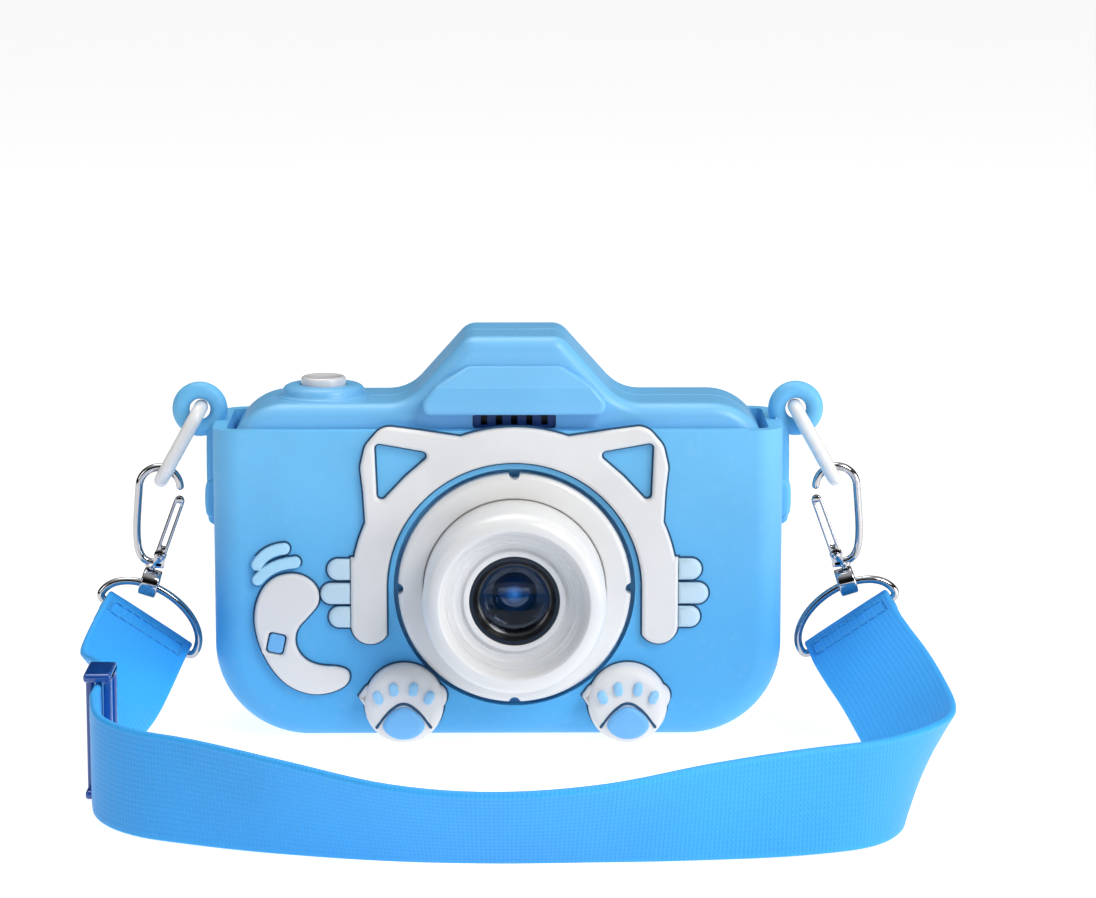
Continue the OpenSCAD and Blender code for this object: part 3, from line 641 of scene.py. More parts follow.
class Finish(Enum):
    """Every finish of the object, by the piece that wears it."""

    # 0.86 paints shade that deepens the case towards the bottom.
    CASE = Silicone("case silicone", SKY_BLUE, 0.42, 0.86)
    MOTIF = Silicone("motif silicone", MOTIF_WHITE, 0.45)
    PALE = Silicone("pale silicone", LIGHT_BLUE, 0.45)
    FINGER = Silicone("finger silicone", (0.560, 0.740, 0.860), 0.45)
    TOE = Silicone("toe silicone", (0.300, 0.600, 0.880), 0.45)
    PAD = Silicone("pad silicone", (0.17, 0.48, 0.86), 0.42)
    # Dark outline: painted shade of the gap round the raised shapes and paws; also used for the arch over each heel.
    INK = Silicone("dark outline", (0.012, 0.075, 0.17), 0.6)
    SHELL = Moulding("body plastic", (0.175, 0.510, 0.850), 0.34)
    TURNED = TurnedMoulding("turned plastic", (0.800, 0.795, 0.785), LENS_CENTRE, 8.0, 11.4)
    TRIM = Moulding("trim plastic", (0.800, 0.795, 0.785), 0.28, 0.004, 0.25)
    SILVER = Moulding("shutter plastic", (0.740, 0.735, 0.760), 0.26, 0.004, 0.4)
    BLACK = Moulding("black plastic", (0.012, 0.012, 0.014), 0.38, 0.006)
    LENS_BLACK = Moulding("lens black", (0.005, 0.005, 0.006), 0.22, 0.003, 0.4, 0.0)
    GRILLE = Moulding("grille plastic", (0.010, 0.055, 0.200), 0.45)
    LINK = Moulding("link plastic", (0.820, 0.815, 0.805), 0.26, 0.004, 0.3)
    NAVY = Moulding("slider plastic", (0.006, 0.070, 0.330), 0.18, 0.003, 0.7, 0.0)
    GLYPH = Moulding("key symbol", (0.560, 0.550, 0.560), 0.4, 0.004)
    CHIP = Moulding("chip resin", (0.020, 0.020, 0.022), 0.5, 0.02)
    CHROME = Plating("chrome wire", (0.50, 0.50, 0.52), 0.07)
    TIN = Plating("tinned sheet", (0.62, 0.62, 0.64), 0.28, 0.01)
    SCREW = Plating("dark screw", (0.07, 0.07, 0.08), 0.3, 0.01)
    FOIL = FoilFinish("pouch foil", (0.70, 0.71, 0.74))
    BOARD = BoardFinish("solder resist")
    WEBBING = Webbing("strap webbing", (0.025, 0.370, 0.960))
    THREAD = Thread("strap thread", (0.060, 0.430, 0.930))
    WINDOW = BlackGlass("window black")
    PICTURE = PictureWindow("screen picture")
    CLEAR = ClearOptic("lens glass")
    DEEP = GlowingGlintOptic("lens painted glint", LENS_CENTRE, 3.4)
    REAR_DEEP = GlowingGlintOptic("rear lens painted glint", REAR_LENS, 1.3)


class Wardrobe:
    """Makes each finish once and hands it out."""

    def __init__(self) -> None:
        """Starts with nothing made."""
        self._made: dict[Finish, bpy.types.Material] = {}

    def get(self, finish: Finish) -> bpy.types.Material:
        """The material of a finish."""
        if finish not in self._made:
            self._made[finish] = finish.value.make()
        return self._made[finish]

    def wear(self, item: bpy.types.Object, finish: Finish) -> None:
        """Puts one finish all over a piece."""
        item.data.materials.clear()
        item.data.materials.append(self.get(finish))


WARDROBE = Wardrobe()


# ------------------------------------------------------------------ mesh making


@dataclass(frozen=True)
class Stand:
    """A place and three directions that a drawing is put on, in millimetres."""

    origin: Vector
    x: Vector = X_AXIS
    y: Vector = Z_AXIS
    z: Vector = Y_AXIS

    def at(self, u: float, v: float, w: float = 0.0) -> Vector:
        """Point at those distances along the three directions."""
        return self.origin + self.x * u + self.y * v + self.z * w

    @classmethod
    def leaning(cls, origin: Vector, degrees: float) -> Stand:
        """A stand turned about Y: its x and y lie in the upright plane, and its z is Y."""
        a = math.radians(degrees)
        return cls(origin, Vector((math.cos(a), 0, -math.sin(a))), Vector((math.sin(a), 0, math.cos(a))))


UPRIGHT = Stand(Vector((0, 0, 0)))
PLAN = Stand(Vector((0, 0, 0)), X_AXIS, Y_AXIS, Z_AXIS)


@dataclass
class Draft:
    """Corners, in millimetres, and faces of a piece while it is being made."""

    verts: list[Vector] = field(default_factory=list)
    faces: list[tuple[int, ...]] = field(default_factory=list)

    def add(self, verts: Iterable[Vector], faces: Iterable[Sequence[int]]) -> Draft:
        """Adds corners and faces that count from the first of them."""
        start = len(self.verts)
        self.verts.extend(verts)
        self.faces.extend(tuple(i + start for i in f) for f in faces)
        return self

    def join(self, *others: Draft) -> Draft:
        """Adds the other drafts to this one."""
        for other in others:
            self.add(other.verts, other.faces)
        return self

    def mirrored(self, side: Side) -> Draft:
        """The same piece for the right side, or itself for the left."""
        if side is Side.LEFT:
            return self
        return Draft([Vector((-v.x, v.y, v.z)) for v in self.verts], [f[::-1] for f in self.faces])

    def build(self, name: str, sharp: float = 34.0) -> bpy.types.Object:
        """Makes the object.

        Args:
            name: the piece's name.
            sharp: angle in degrees above which an edge stays crisp.

        Returns:
            The object, in metres, in the part's own frame.
        """
        mesh = bpy.data.meshes.new(name)
        mesh.from_pydata([v * MM for v in self.verts], [], self.faces)
        made = bpy.data.objects.new(name, mesh)
        bpy.context.scene.collection.objects.link(made)
        edit(made, lambda b: bmesh.ops.recalc_face_normals(b, faces=b.faces))
        crisp(made, sharp)
        return made


def edit(item: bpy.types.Object, change: Callable[[bmesh.types.BMesh], object]) -> None:
    """Runs a change on a piece's welded mesh."""
    work = bmesh.new()
    work.from_mesh(item.data)
    bmesh.ops.remove_doubles(work, verts=work.verts, dist=2e-6)
    change(work)
    work.to_mesh(item.data)
    work.free()


def crisp(item: bpy.types.Object, sharp: float) -> None:
    """Smooth shading with edges sharper than that angle kept."""
    item.data.shade_smooth()
    item.data.set_sharp_from_angle(angle=math.radians(sharp))


def settle(item: bpy.types.Object) -> None:
    """Applies the piece's modifiers."""
    graph = bpy.context.evaluated_depsgraph_get()
    mesh = bpy.data.meshes.new_from_object(item.evaluated_get(graph))
    item.modifiers.clear()
    item.data = mesh
    mesh.name = item.name


def combine(item: bpy.types.Object, operation: str, tools: Sequence[bpy.types.Object]) -> bpy.types.Object:
    """Cuts tools out of a piece or adds them to it, and removes them.

    Args:
        item: the piece.
        operation: DIFFERENCE or UNION.
        tools: closed meshes.

    Returns:
        The piece.
    """
    for tool in tools:
        step = item.modifiers.new("shape", "BOOLEAN")
        step.object, step.operation, step.solver = tool, operation, "MANIFOLD"
    settle(item)
    for tool in tools:
        bpy.data.objects.remove(tool)
    return item


def soften(item: bpy.types.Object, width: float, sharp: float = 40.0, steps: int = 3) -> bpy.types.Object:
    """Rounds every outward edge sharper than that angle, then evens the shading of flat faces.

    Args:
        item: the piece.
        width: width of the rounding in millimetres.
        sharp: angle in degrees.
        steps: faces across the rounding.

    Returns:
        The piece.
    """

    def change(b: bmesh.types.BMesh) -> None:
        """Bevels the edges."""
        bmesh.ops.dissolve_degenerate(b, dist=1e-5, edges=b.edges)
        keen = [
            e for e in b.edges if len(e.link_faces) == 2 and e.is_convex and e.calc_face_angle() > math.radians(sharp)
        ]
        bmesh.ops.bevel(b, geom=keen, offset=width * MM, segments=steps, profile=0.5, affect="EDGES", clamp_overlap=True)

    edit(item, change)
    crisp(item, 38.0)
    even(item)
    return item


def even(item: bpy.types.Object) -> None:
    """Weighs the normals by face area, so that flats look flat beside their roundings."""
    weigh = item.modifiers.new("weigh", "WEIGHTED_NORMAL")
    weigh.keep_sharp = True
    settle(item)


def arc(centre: Flat, radius: Flat, first: float, last: float, steps: int) -> list[Flat]:
    """Points of an arc.

    Args:
        centre: its middle.
        radius: its two half axes.
        first: start angle in degrees.
        last: end angle in degrees.
        steps: number of spans.

    Returns:
        The points in order.
    """
    turns = [math.radians(first + (last - first) * k / steps) for k in range(steps + 1)]
    return [(centre[0] + radius[0] * math.cos(a), centre[1] + radius[1] * math.sin(a)) for a in turns]


def circle(centre: Flat, radius: float, steps: int) -> list[Flat]:
    """A closed ring of that many points."""
    return arc(centre, (radius, radius), 0, 360 - 360 / steps, steps - 1)


def dome(radius: float, foot: float, rise: float, steps: int) -> list[Flat]:
    """Quarter ellipse of a lens face, from its rim to the axis."""
    turns = (math.pi / 2 * k / steps for k in range(steps + 1))
    return [(radius * math.cos(t), foot + rise * math.sin(t)) for t in turns]


def round_box(
    width: float, height: float, corner: float, centre: Flat = (0.0, 0.0), steps: int = 8
) -> list[Flat]:
    """A rectangle with round corners."""
    x, y = width / 2 - corner, height / 2 - corner
    corners = ((x, y, 0), (-x, y, 90), (-x, -y, 180), (x, -y, 270))
    return [
        p
        for cx, cy, a in corners
        for p in arc((centre[0] + cx, centre[1] + cy), (corner, corner), a, a + 90, steps)
    ]


def rounding(front: float, back: float, at_front: float, at_back: float = 0.0, steps: int = 4) -> list[Flat]:
    """Levels of a slab with round edges, as (depth, inset), from front to back."""
    levels = [
        (front + at_front * (1 - math.cos(t)), at_front * (1 - math.sin(t)))
        for t in (math.pi / 2 * k / steps for k in range(steps + 1))
    ]
    if not at_front:
        levels = [(front, 0.0)]
    tail = [
        (back - at_back * (1 - math.cos(t)), at_back * (1 - math.sin(t)))
        for t in (math.pi / 2 * k / steps for k in range(steps, -1, -1))
    ]
    return levels + (tail if at_back else [(back, 0.0)])


@dataclass
class Outline:
    """A flat region: its outer rings run anticlockwise and its holes clockwise."""

    rings: list[np.ndarray]

    @classmethod
    def of(cls, *loops: Sequence[Flat]) -> Outline:
        """Makes the region of those loops; one inside another is a hole."""
        rings = [np.array(loop, float) for loop in loops]
        for i, ring in enumerate(rings):
            depth = sum(_inside(ring[0], other) for j, other in enumerate(rings) if j != i)
            if (_area(ring) > 0) == bool(depth % 2):
                rings[i] = ring[::-1].copy()
        return cls(rings)

    @classmethod
    def from_node(cls, node: str, depth: float) -> Outline:
        """The region that a node of the frame covers at one depth along Y, in millimetres."""
        mesh = bpy.data.objects[node].data
        following: dict[tuple[int, int], None] = {}
        points: dict[tuple[float, float], int] = {}
        for face in mesh.polygons:
            corners = [mesh.vertices[i].co / MM for i in face.vertices]
            if any(abs(c.y - depth) > 0.01 for c in corners):
                continue
            ids = [points.setdefault((round(c.x, 4), round(c.z, 4)), len(points)) for c in corners]
            for a, b in zip(ids, ids[1:] + ids[:1]):
                if (b, a) in following:
                    del following[(b, a)]
                elif a != b:
                    following[(a, b)] = None
        where = list(points)
        loops = []
        while following:
            a, b = next(iter(following))
            loop = []
            while (a, b) in following:
                del following[(a, b)]
                loop.append(where[a])
                a, b = b, next((q for p, q in following if p == b), -1)
            loops.append(loop)
        return cls.of(*[loop for loop in loops if len(loop) > 2])

    def inset(self, distance: float) -> list[np.ndarray]:
        """The rings moved into the material by that distance."""
        moved = []
        for ring in self.rings:
            ahead = np.roll(ring, -1, 0) - ring
            ahead /= np.maximum(np.linalg.norm(ahead, axis=1, keepdims=True), 1e-9)
            left = np.stack([-ahead[:, 1], ahead[:, 0]], 1)
            mean = left + np.roll(left, 1, 0)
            mean /= np.maximum(np.linalg.norm(mean, axis=1, keepdims=True), 1e-9)
            share = np.clip((mean * left).sum(1, keepdims=True), 0.6, 1)
            moved.append(ring + mean * distance / share)
        return moved

    def grown(self, distance: float) -> Outline:
        """The region made larger all round."""
        return Outline(self.inset(-distance))

    def slab(self, levels: Sequence[Flat], stand: Stand = UPRIGHT) -> Draft:
        """A solid through levels of (depth, inset) along the stand's third direction.

        Args:
            levels: from one end to the other.
            stand: where the drawing is put.

        Returns:
            The closed solid.
        """
        draft, tops = Draft(), []
        for index, ring in enumerate(self.rings):
            n = len(ring)
            rows = [[stand.at(p[0], p[1], w) for p in self.inset(d)[index]] for w, d in levels]
            faces = [
                (r * n + k, r * n + (k + 1) % n, (r + 1) * n + (k + 1) % n, (r + 1) * n + k)
                for r in range(len(rows) - 1)
                for k in range(n)
            ]
            tops.append((len(draft.verts), n))
            draft.add([p for row in rows for p in row], faces)
        for index, ring in enumerate(self.rings):
            if _area(ring) < 0:
                continue
            group = [index] + [j for j, r in enumerate(self.rings) if _area(r) < 0 and _inside(r[0], ring)]
            for level in (0, len(levels) - 1):
                rings = self.inset(levels[level][1])
                ids = [tops[j][0] + tops[j][1] * level + k for j in group for k in range(tops[j][1])]
                for tri in tessellate_polygon([[Vector((p[0], p[1], 0)) for p in rings[j]] for j in group]):
                    draft.faces.append(tuple(ids[k] for k in (reversed(tri) if level else tri)))
        return draft


def _area(ring: np.ndarray) -> float:
    """Signed area of a ring."""
    after = np.roll(ring, -1, 0)
    return float((ring[:, 0] * after[:, 1] - after[:, 0] * ring[:, 1]).sum() / 2)


def _inside(point: Sequence[float], ring: np.ndarray) -> bool:
    """Whether a point lies in a ring."""
    x, y = point[0], point[1]
    a, b = ring, np.roll(ring, -1, 0)
    crosses = (a[:, 1] > y) != (b[:, 1] > y)
    rise = np.where(b[:, 1] == a[:, 1], 1e-9, b[:, 1] - a[:, 1])
    return bool((crosses & (x < a[:, 0] + (y - a[:, 1]) * (b[:, 0] - a[:, 0]) / rise)).sum() % 2)


def skin(rows: Sequence[Sequence[Vector]], loop: bool = False) -> Draft:
    """A surface over rows of points, each row a closed ring.

    Args:
        rows: rings of one size.
        loop: whether the last row meets the first; otherwise both ends are closed.

    Returns:
        The surface.
    """
    n, count = len(rows[0]), len(rows)
    faces: list[tuple[int, ...]] = [
        (r * n + k, r * n + (k + 1) % n, (r + 1) % count * n + (k + 1) % n, (r + 1) % count * n + k)
        for r in range(count if loop else count - 1)
        for k in range(n)
    ]
    if not loop:
        faces += [tuple(range(n))[::-1], tuple((count - 1) * n + k for k in range(n))]
    return Draft().add([p for row in rows for p in row], faces)


def lathe(profile: Sequence[Flat], stand: Stand, steps: int = 96) -> Draft:
    """A turned piece.

    Args:
        profile: closed loop of (radius, height along the stand's third direction).
        stand: where its axis starts and runs.
        steps: faces round it.

    Returns:
        The closed solid.
    """
    rows = []
    for k in range(steps):
        a = 2 * math.pi * k / steps
        rows.append([stand.at(r * math.cos(a), r * math.sin(a), h) for r, h in profile])
    return skin(rows, loop=True)


def tube(path: Sequence[Vector], radius: float, side: Vector, closed: bool = False, sides: int = 20) -> Draft:
    """A round wire along a flat path, with round ends if it is open.

    Args:
        path: its centre line.
        radius: half its thickness.
        side: direction square to the path's plane.
        closed: whether it is a loop.
        sides: faces round it.

    Returns:
        The closed solid.
    """
    n, rows = len(path), []

    def ring(at: Vector, along: Vector, size: float) -> list[Vector]:
        """One section of the wire."""
        other = along.cross(side).normalized()
        turns = (2 * math.pi * k / sides for k in range(sides))
        return [at + (side * math.cos(a) + other * math.sin(a)) * size for a in turns]

    for i, at in enumerate(path):
        ahead = path[(i + 1) % n] if closed or i < n - 1 else at
        behind = path[i - 1] if closed or i else at
        along = (ahead - behind).normalized()
        caps = [math.radians(a) for a in (15, 40, 65)]
        if not closed and i == 0:
            rows += [ring(at - along * radius * math.cos(a), along, radius * math.sin(a)) for a in caps]
        rows.append(ring(at, along, radius))
        if not closed and i == n - 1:
            rows += [ring(at + along * radius * math.cos(a), along, radius * math.sin(a)) for a in caps[::-1]]
    return skin(rows, loop=closed)


def piece(draft: Draft, name: str, finish: Finish, body: str, sharp: float = 34.0) -> bpy.types.Object:
    """Builds a draft, dresses it and lets it ride on a body.

    Args:
        draft: the shape.
        name: the piece's name.
        finish: what it wears.
        body: the body that it moves with.
        sharp: angle in degrees above which an edge stays crisp.

    Returns:
        The piece.
    """
    return show(draft.build(name, sharp), finish, body)


def show(item: bpy.types.Object, finish: Finish, body: str) -> bpy.types.Object:
    """Dresses a finished piece, lets it ride on a body and logs it."""
    WARDROBE.wear(item, finish)
    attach(item, body)
    LOG.info("made %s: %d faces", item.name, len(item.data.polygons))
    return item


# ------------------------------------------------------------------ studio


@dataclass(frozen=True)
class Studio:
    """Camera, soft lights and pale floor."""

    aim: Vector = Vector((2.6, -12.2, 25.0))
    distance: float = 600.0
    height_angle: float = 12.0
    tilt_up: float = 2.079
    turn_right: float = 0.52
    focal: float = 123.96

    def set_camera(self) -> None:
        """Makes the scene's camera."""
        a = math.radians(self.height_angle)
        data = bpy.data.cameras.new("view")
        data.lens, data.sensor_width = self.focal, 36.0
        data.clip_start, data.clip_end = 0.02, 20.0
        made = bpy.data.objects.new("view", data)
        made.location = (self.aim + Vector((0, -math.cos(a), math.sin(a))) * self.distance) * MM
        made.rotation_euler = (
            math.radians(90 - self.height_angle + self.tilt_up), 0, -math.radians(self.turn_right)
        )
        bpy.context.scene.collection.objects.link(made)
        bpy.context.scene.camera = made

    def set_lights(self) -> None:
        """Makes the world and the soft boxes."""
        self._box("key", (0.46, -0.52, 0.62), 0.36, 4.0, (1.0, 0.99, 0.97))
        self._box("fill", (-0.75, -0.50, 0.35), 0.4, 1.1, (0.97, 0.98, 1.0))
        self._box("side", (0.95, -0.28, 0.20), 0.4, 2.4, (1.0, 1.0, 1.0))
        self._box("top", (-0.10, 0.16, 0.85), 0.5, 2.9, (1.0, 1.0, 1.0))
        self._box("glint", (0.50, -0.42, 0.12), 0.16, 0.55, (1.0, 1.0, 1.0))
        world = bpy.data.worlds.new("studio")
        world.use_nodes = True
        nodes, links = world.node_tree.nodes, world.node_tree.links
        back = nodes["Background"]
        coordinate = nodes.new("ShaderNodeTexCoord")
        split = nodes.new("ShaderNodeSeparateXYZ")
        ramp = nodes.new("ShaderNodeValToRGB")
        stops = ((0.0, 0.01), (0.46, 0.02), (0.53, 0.10), (0.66, 0.28), (0.86, 1.3))
        while len(ramp.color_ramp.elements) < len(stops):
            ramp.color_ramp.elements.new(0.5)
        for stop, (place, grey) in zip(ramp.color_ramp.elements, stops):
            stop.position, stop.color = place, (grey, grey, grey, 1)
        links.new(coordinate.outputs["Generated"], split.inputs[0])
        links.new(split.outputs[2], ramp.inputs[0])
        links.new(ramp.outputs[0], back.inputs[0])
        back.inputs[1].default_value = 0.42
        bpy.context.scene.world = world
        bpy.context.scene.view_settings.view_transform = "Standard"

    def _box(self, name: str, place: Sequence[float], size: float, power: float, tint: Colour) -> None:
        """Makes one square soft box that faces the object."""
        data = bpy.data.lights.new(name, "AREA")
        data.size, data.energy, data.color = size, power, tint
        made = bpy.data.objects.new(name, data)
        made.location = place
        made.rotation_euler = (Vector((0, -0.02, 0.02)) - Vector(place)).to_track_quat("-Z", "Y").to_euler()
        bpy.context.scene.collection.objects.link(made)

    def set_floor(self) -> None:
        """Makes the pale floor, which glows a little so that it stays white in the picture."""
        corners = [Vector((x, y, 0)) / MM for x, y in ((-4.0, -2.0), (4.0, -2.0), (4.0, 5.0), (-4.0, 5.0))]
        floor = Draft(corners, [(0, 1, 2, 3)]).build("floor")
        shader = Shader("floor paper")
        mottle = shader.noise(shader.place(), 0.02, 3)
        paper = shader.dress(
            Base_Color=shader.mix(mottle * 0.2, (0.42, 0.42, 0.42), (0.40, 0.40, 0.41)),
            Emission_Color=(1.0, 1.0, 1.0),
            Emission_Strength=0.86,
            Roughness=0.30 + mottle * 0.1,
            Specular_IOR_Level=0.25,
        )
        floor.data.materials.append(paper)


# ------------------------------------------------------------------ strap and its hardware


@dataclass(frozen=True)
class StrapLine:
    """The webbing's centre line: points in metres with the outward lean of the webbing in degrees."""

    route: tuple[tuple[float, float, float, float], ...] = (
        (-0.0566, -0.00012, 0.0169, 56), (-0.057, -0.0045, 0.0163, 56), (-0.0574, -0.009, 0.0157, 56),
        (-0.0582, -0.017, 0.0142, 55), (-0.0591, -0.025, 0.0122, 44), (-0.0596, -0.031, 0.0107, 18),
        (-0.0597, -0.036, 0.010, 0), (-0.0597, -0.040, 0.010, 0), (-0.0597, -0.051, 0.010, 0),
        (-0.0597, -0.055, 0.0097, 0), (-0.058, -0.0625, 0.0086, 0), (-0.0525, -0.069, 0.00815, 1),
        (-0.0435, -0.0745, 0.00815, 5), (-0.029, -0.082, 0.0078, 20), (-0.014, -0.0875, 0.0071, 34),
        (0, -0.089, 0.0068, 38), (0.015, -0.0878, 0.0071, 33), (0.030, -0.0845, 0.0078, 18),
        (0.044, -0.0806, 0.00815, 5), (0.054, -0.076, 0.00815, 4), (0.060, -0.0685, 0.0082, 12),
        (0.0627, -0.0595, 0.0085, 28), (0.0629, -0.0495, 0.0095, 43), (0.0616, -0.038, 0.0116, 52),
        (0.0601, -0.027, 0.0134, 55), (0.0585, -0.017, 0.0147, 56), (0.0574, -0.009, 0.0157, 56),
        (0.057, -0.0045, 0.0163, 56), (0.0566, -0.00012, 0.0169, 56),
    )
    steps: int = 6

    def places(self) -> list[tuple[Vector, float]]:
        """Centre line points in millimetres with their lean."""
        points = np.array(self.route) / (MM, MM, MM, 1)
        last, found = len(points) - 1, []
        for i in range(last):
            a, b, c, d = points[max(i - 1, 0)], points[i], points[i + 1], points[min(i + 2, last)]
            for k in range(self.steps):
                t = k / self.steps
                cubic = (3 * b - a - 3 * c + d) * t**3
                found.append(0.5 * (2 * b + (c - a) * t + (2 * a - 5 * b + 4 * c - d) * t * t + cubic))
        found.append(points[last])
        return [(Vector(p[:3]), float(p[3])) for p in found]

    def stands(self) -> list[tuple[Stand, float]]:
        """At each point a stand whose x runs across the webbing and y out of it, and the distance run."""
        places, made, run = self.places(), [], 0.0
        for i, (at, lean) in enumerate(places):
            ahead, behind = places[min(i + 1, len(places) - 1)][0], places[max(i - 1, 0)][0]
            along = (ahead - behind).normalized()
            out = along.cross(Z_AXIS).normalized()
            up = out.cross(along)
            wide = up * math.cos(math.radians(lean)) + out * math.sin(math.radians(lean))
            run += (at - behind).length if i else 0.0
            made.append((Stand(at, wide, along.cross(wide).normalized(), along), run))
        return made


@dataclass(frozen=True)
class NeckStrap:
    """Flat webbing with its sewn ends, stitches and slider."""

    line: StrapLine = StrapLine()
    width: float = 16.0
    thickness: float = 1.2
    bar: Vector = RING_BAR
    bar_tilt: float = RING_TILT
    slider: Vector = Vector((-59.7, -45.5, 10.0))

    def section(self, stand: Stand) -> list[Vector]:
        """Outline of the webbing's cut: flat faces, round edges and slightly thinner selvedges."""
        w, t = self.width / 2, self.thickness / 2
        edge = [(w, 0.0), (w - 0.06, t * 0.55), (w - 0.3, t * 0.9)]
        across = (0.93, 0.86, 0.6, 0.3, 0, -0.3, -0.6, -0.86, -0.93)
        top = [(w * f, t * (0.93 if abs(f) > 0.85 else 1.0)) for f in across]
        half = edge + top + [(-x, y) for x, y in edge[::-1]]
        return [stand.at(x, y) for x, y in half + [(x, -y) for x, y in half[-2:0:-1]]]

    def weave(self, item: bpy.types.Object, runs: Sequence[float]) -> None:
        """Stores where each corner lies along and across the webbing, for its finish."""
        n = len(self.section(UPRIGHT))
        flat = [p.x for p in self.section(UPRIGHT)]
        values = [c for run in runs for k in range(n) for c in (run, flat[k], 0.0)]
        item.data.attributes.new("weave_at", "FLOAT_VECTOR", "POINT").data.foreach_set("vector", values)

    def strip(self, name: str, stands: Sequence[tuple[Stand, float]]) -> bpy.types.Object:
        """A run of webbing through those stands."""
        draft = skin([self.section(s) for s, _ in stands])
        item = draft.build(name, 50.0)
        self.weave(item, [run for _, run in stands])
        return show(item, Finish.WEBBING, Body.CAMERA.value)

    def end_stands(self) -> list[tuple[Stand, float]]:
        """The sewn end: round the back of the D-ring's bar and forwards under the webbing."""
        bar = Stand.leaning(self.bar, self.bar_tilt)
        turn = 1.3
        path = [(-0.4, turn)]
        path += [(turn * math.sin(math.radians(a)), turn * math.cos(math.radians(a))) for a in range(0, 181, 12)]
        path += [(-1.5, -1.22), (-3.0, -0.98), (-4.6, -0.82), (-6.2, -0.98), (-7.6, -1.12), (-8.6, -1.25)]
        points = [bar.origin + Y_AXIS * y + bar.y * z for y, z in path]
        made, run = [], 0.0
        for i, at in enumerate(points):
            ahead, behind = points[min(i + 1, len(points) - 1)], points[max(i - 1, 0)]
            along = (ahead - behind).normalized()
            run += (at - behind).length if i else 0.0
            made.append((Stand(at, bar.x, along.cross(bar.x).normalized(), along), run))
        return made

    def stitches(self, side: Side) -> Draft:
        """Box of lock stitches through webbing and tail."""
        draft = Draft()
        marks = [s for s, _ in self.line.stands()[:16]]

        def on_top(y: float, across: float) -> Vector:
            """Point on the webbing's outer face at a distance from the bar."""
            i = min(range(len(marks)), key=lambda k: abs(marks[k].origin.y - y))
            nearest = marks[i]
            slide = nearest.z * ((y - nearest.origin.y) / nearest.z.y)
            sign = 1.0 if nearest.y.dot(Stand.leaning(self.bar, self.bar_tilt).y) > 0 else -1.0
            return nearest.at(across, sign * (self.thickness / 2 + 0.02)) + slide

        lift = Stand.leaning(self.bar, self.bar_tilt).y
        spans: list[tuple[Vector, Vector]] = []
        for y in (-3.0, -7.4):
            spans += [(on_top(y, x), on_top(y, x + 1.15)) for x in np.arange(-6.6, 6.0, 1.65)]
        for x in (-6.7, 6.7):
            spans += [(on_top(y, x), on_top(y - 1.0, x)) for y in (-3.3, -4.7, -6.1)]
        for a, b in spans:
            side_way = (b - a).cross(lift).normalized()
            path = [a - lift * 0.12, a + lift * 0.08, (a + b) / 2 + lift * 0.14, b + lift * 0.08, b - lift * 0.12]
            draft.join(tube(path, 0.16, side_way, sides=8))
        return draft.mirrored(side)

    def build(self, hangers: Sequence[bpy.types.Object]) -> bpy.types.Object:
        """Args:
            hangers: the pieces of hardware at its two ends; not used.

        Returns:
            The webbing.
        """
        stands = self.line.stands()
        webbing = self.strip("strap_webbing", stands)
        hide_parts("strap")
        going = [webbing]
        for side in Side:
            turned = [
                (s if side is Side.LEFT else Stand(*(Vector((-v.x, v.y, v.z)) for v in (s.origin, s.x, s.y, s.z))), run)
                for s, run in self.end_stands()
            ]
            end = self.strip(f"strap_end_{side.value}", turned)
            if side is Side.LEFT:
                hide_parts("strap_ends")
            sewn = piece(self.stitches(side), f"strap_stitches_{side.value}", Finish.THREAD, Body.CAMERA.value, 50)
            going += [end, sewn]
        going.append(self.build_slider())
        route = [tuple(s.origin * MM) for s, _ in stands]
        round(stands[-1][1] * MM, 4)
        return webbing

    def build_slider(self) -> bpy.types.Object:
        """Makes the three-bar slider with soft moulded edges.

        Returns:
            The slider.
        """
        length, height, bar, gap = 9.0, 19.4, 1.2, 0.3
        inside = self.thickness / 2 + gap
        stand = Stand(self.slider, Y_AXIS, Z_AXIS, X_AXIS)
        frame = Outline.of(round_box(length, height, 1.3), round_box(length - 4, height - 2.8, 0.8))
        draft = frame.slab(rounding(inside, inside + bar, 0.42, 0.42), stand)
        middle = Outline.of(round_box(2.4, height - 0.4, 0.6))
        draft.join(middle.slab(rounding(-inside - bar, -inside, 0.42, 0.42), stand))
        for z in (-1, 1):
            rail = Outline.of(round_box(length, 1.34, 0.6, (0, z * (height / 2 - 0.72))))
            draft.join(rail.slab(rounding(-inside - bar, inside + bar, 0.42, 0.42), stand))
        slider = piece(draft, "slider_frame", Finish.NAVY, Body.SLIDER.value)
        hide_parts("strap_slider")
        return slider


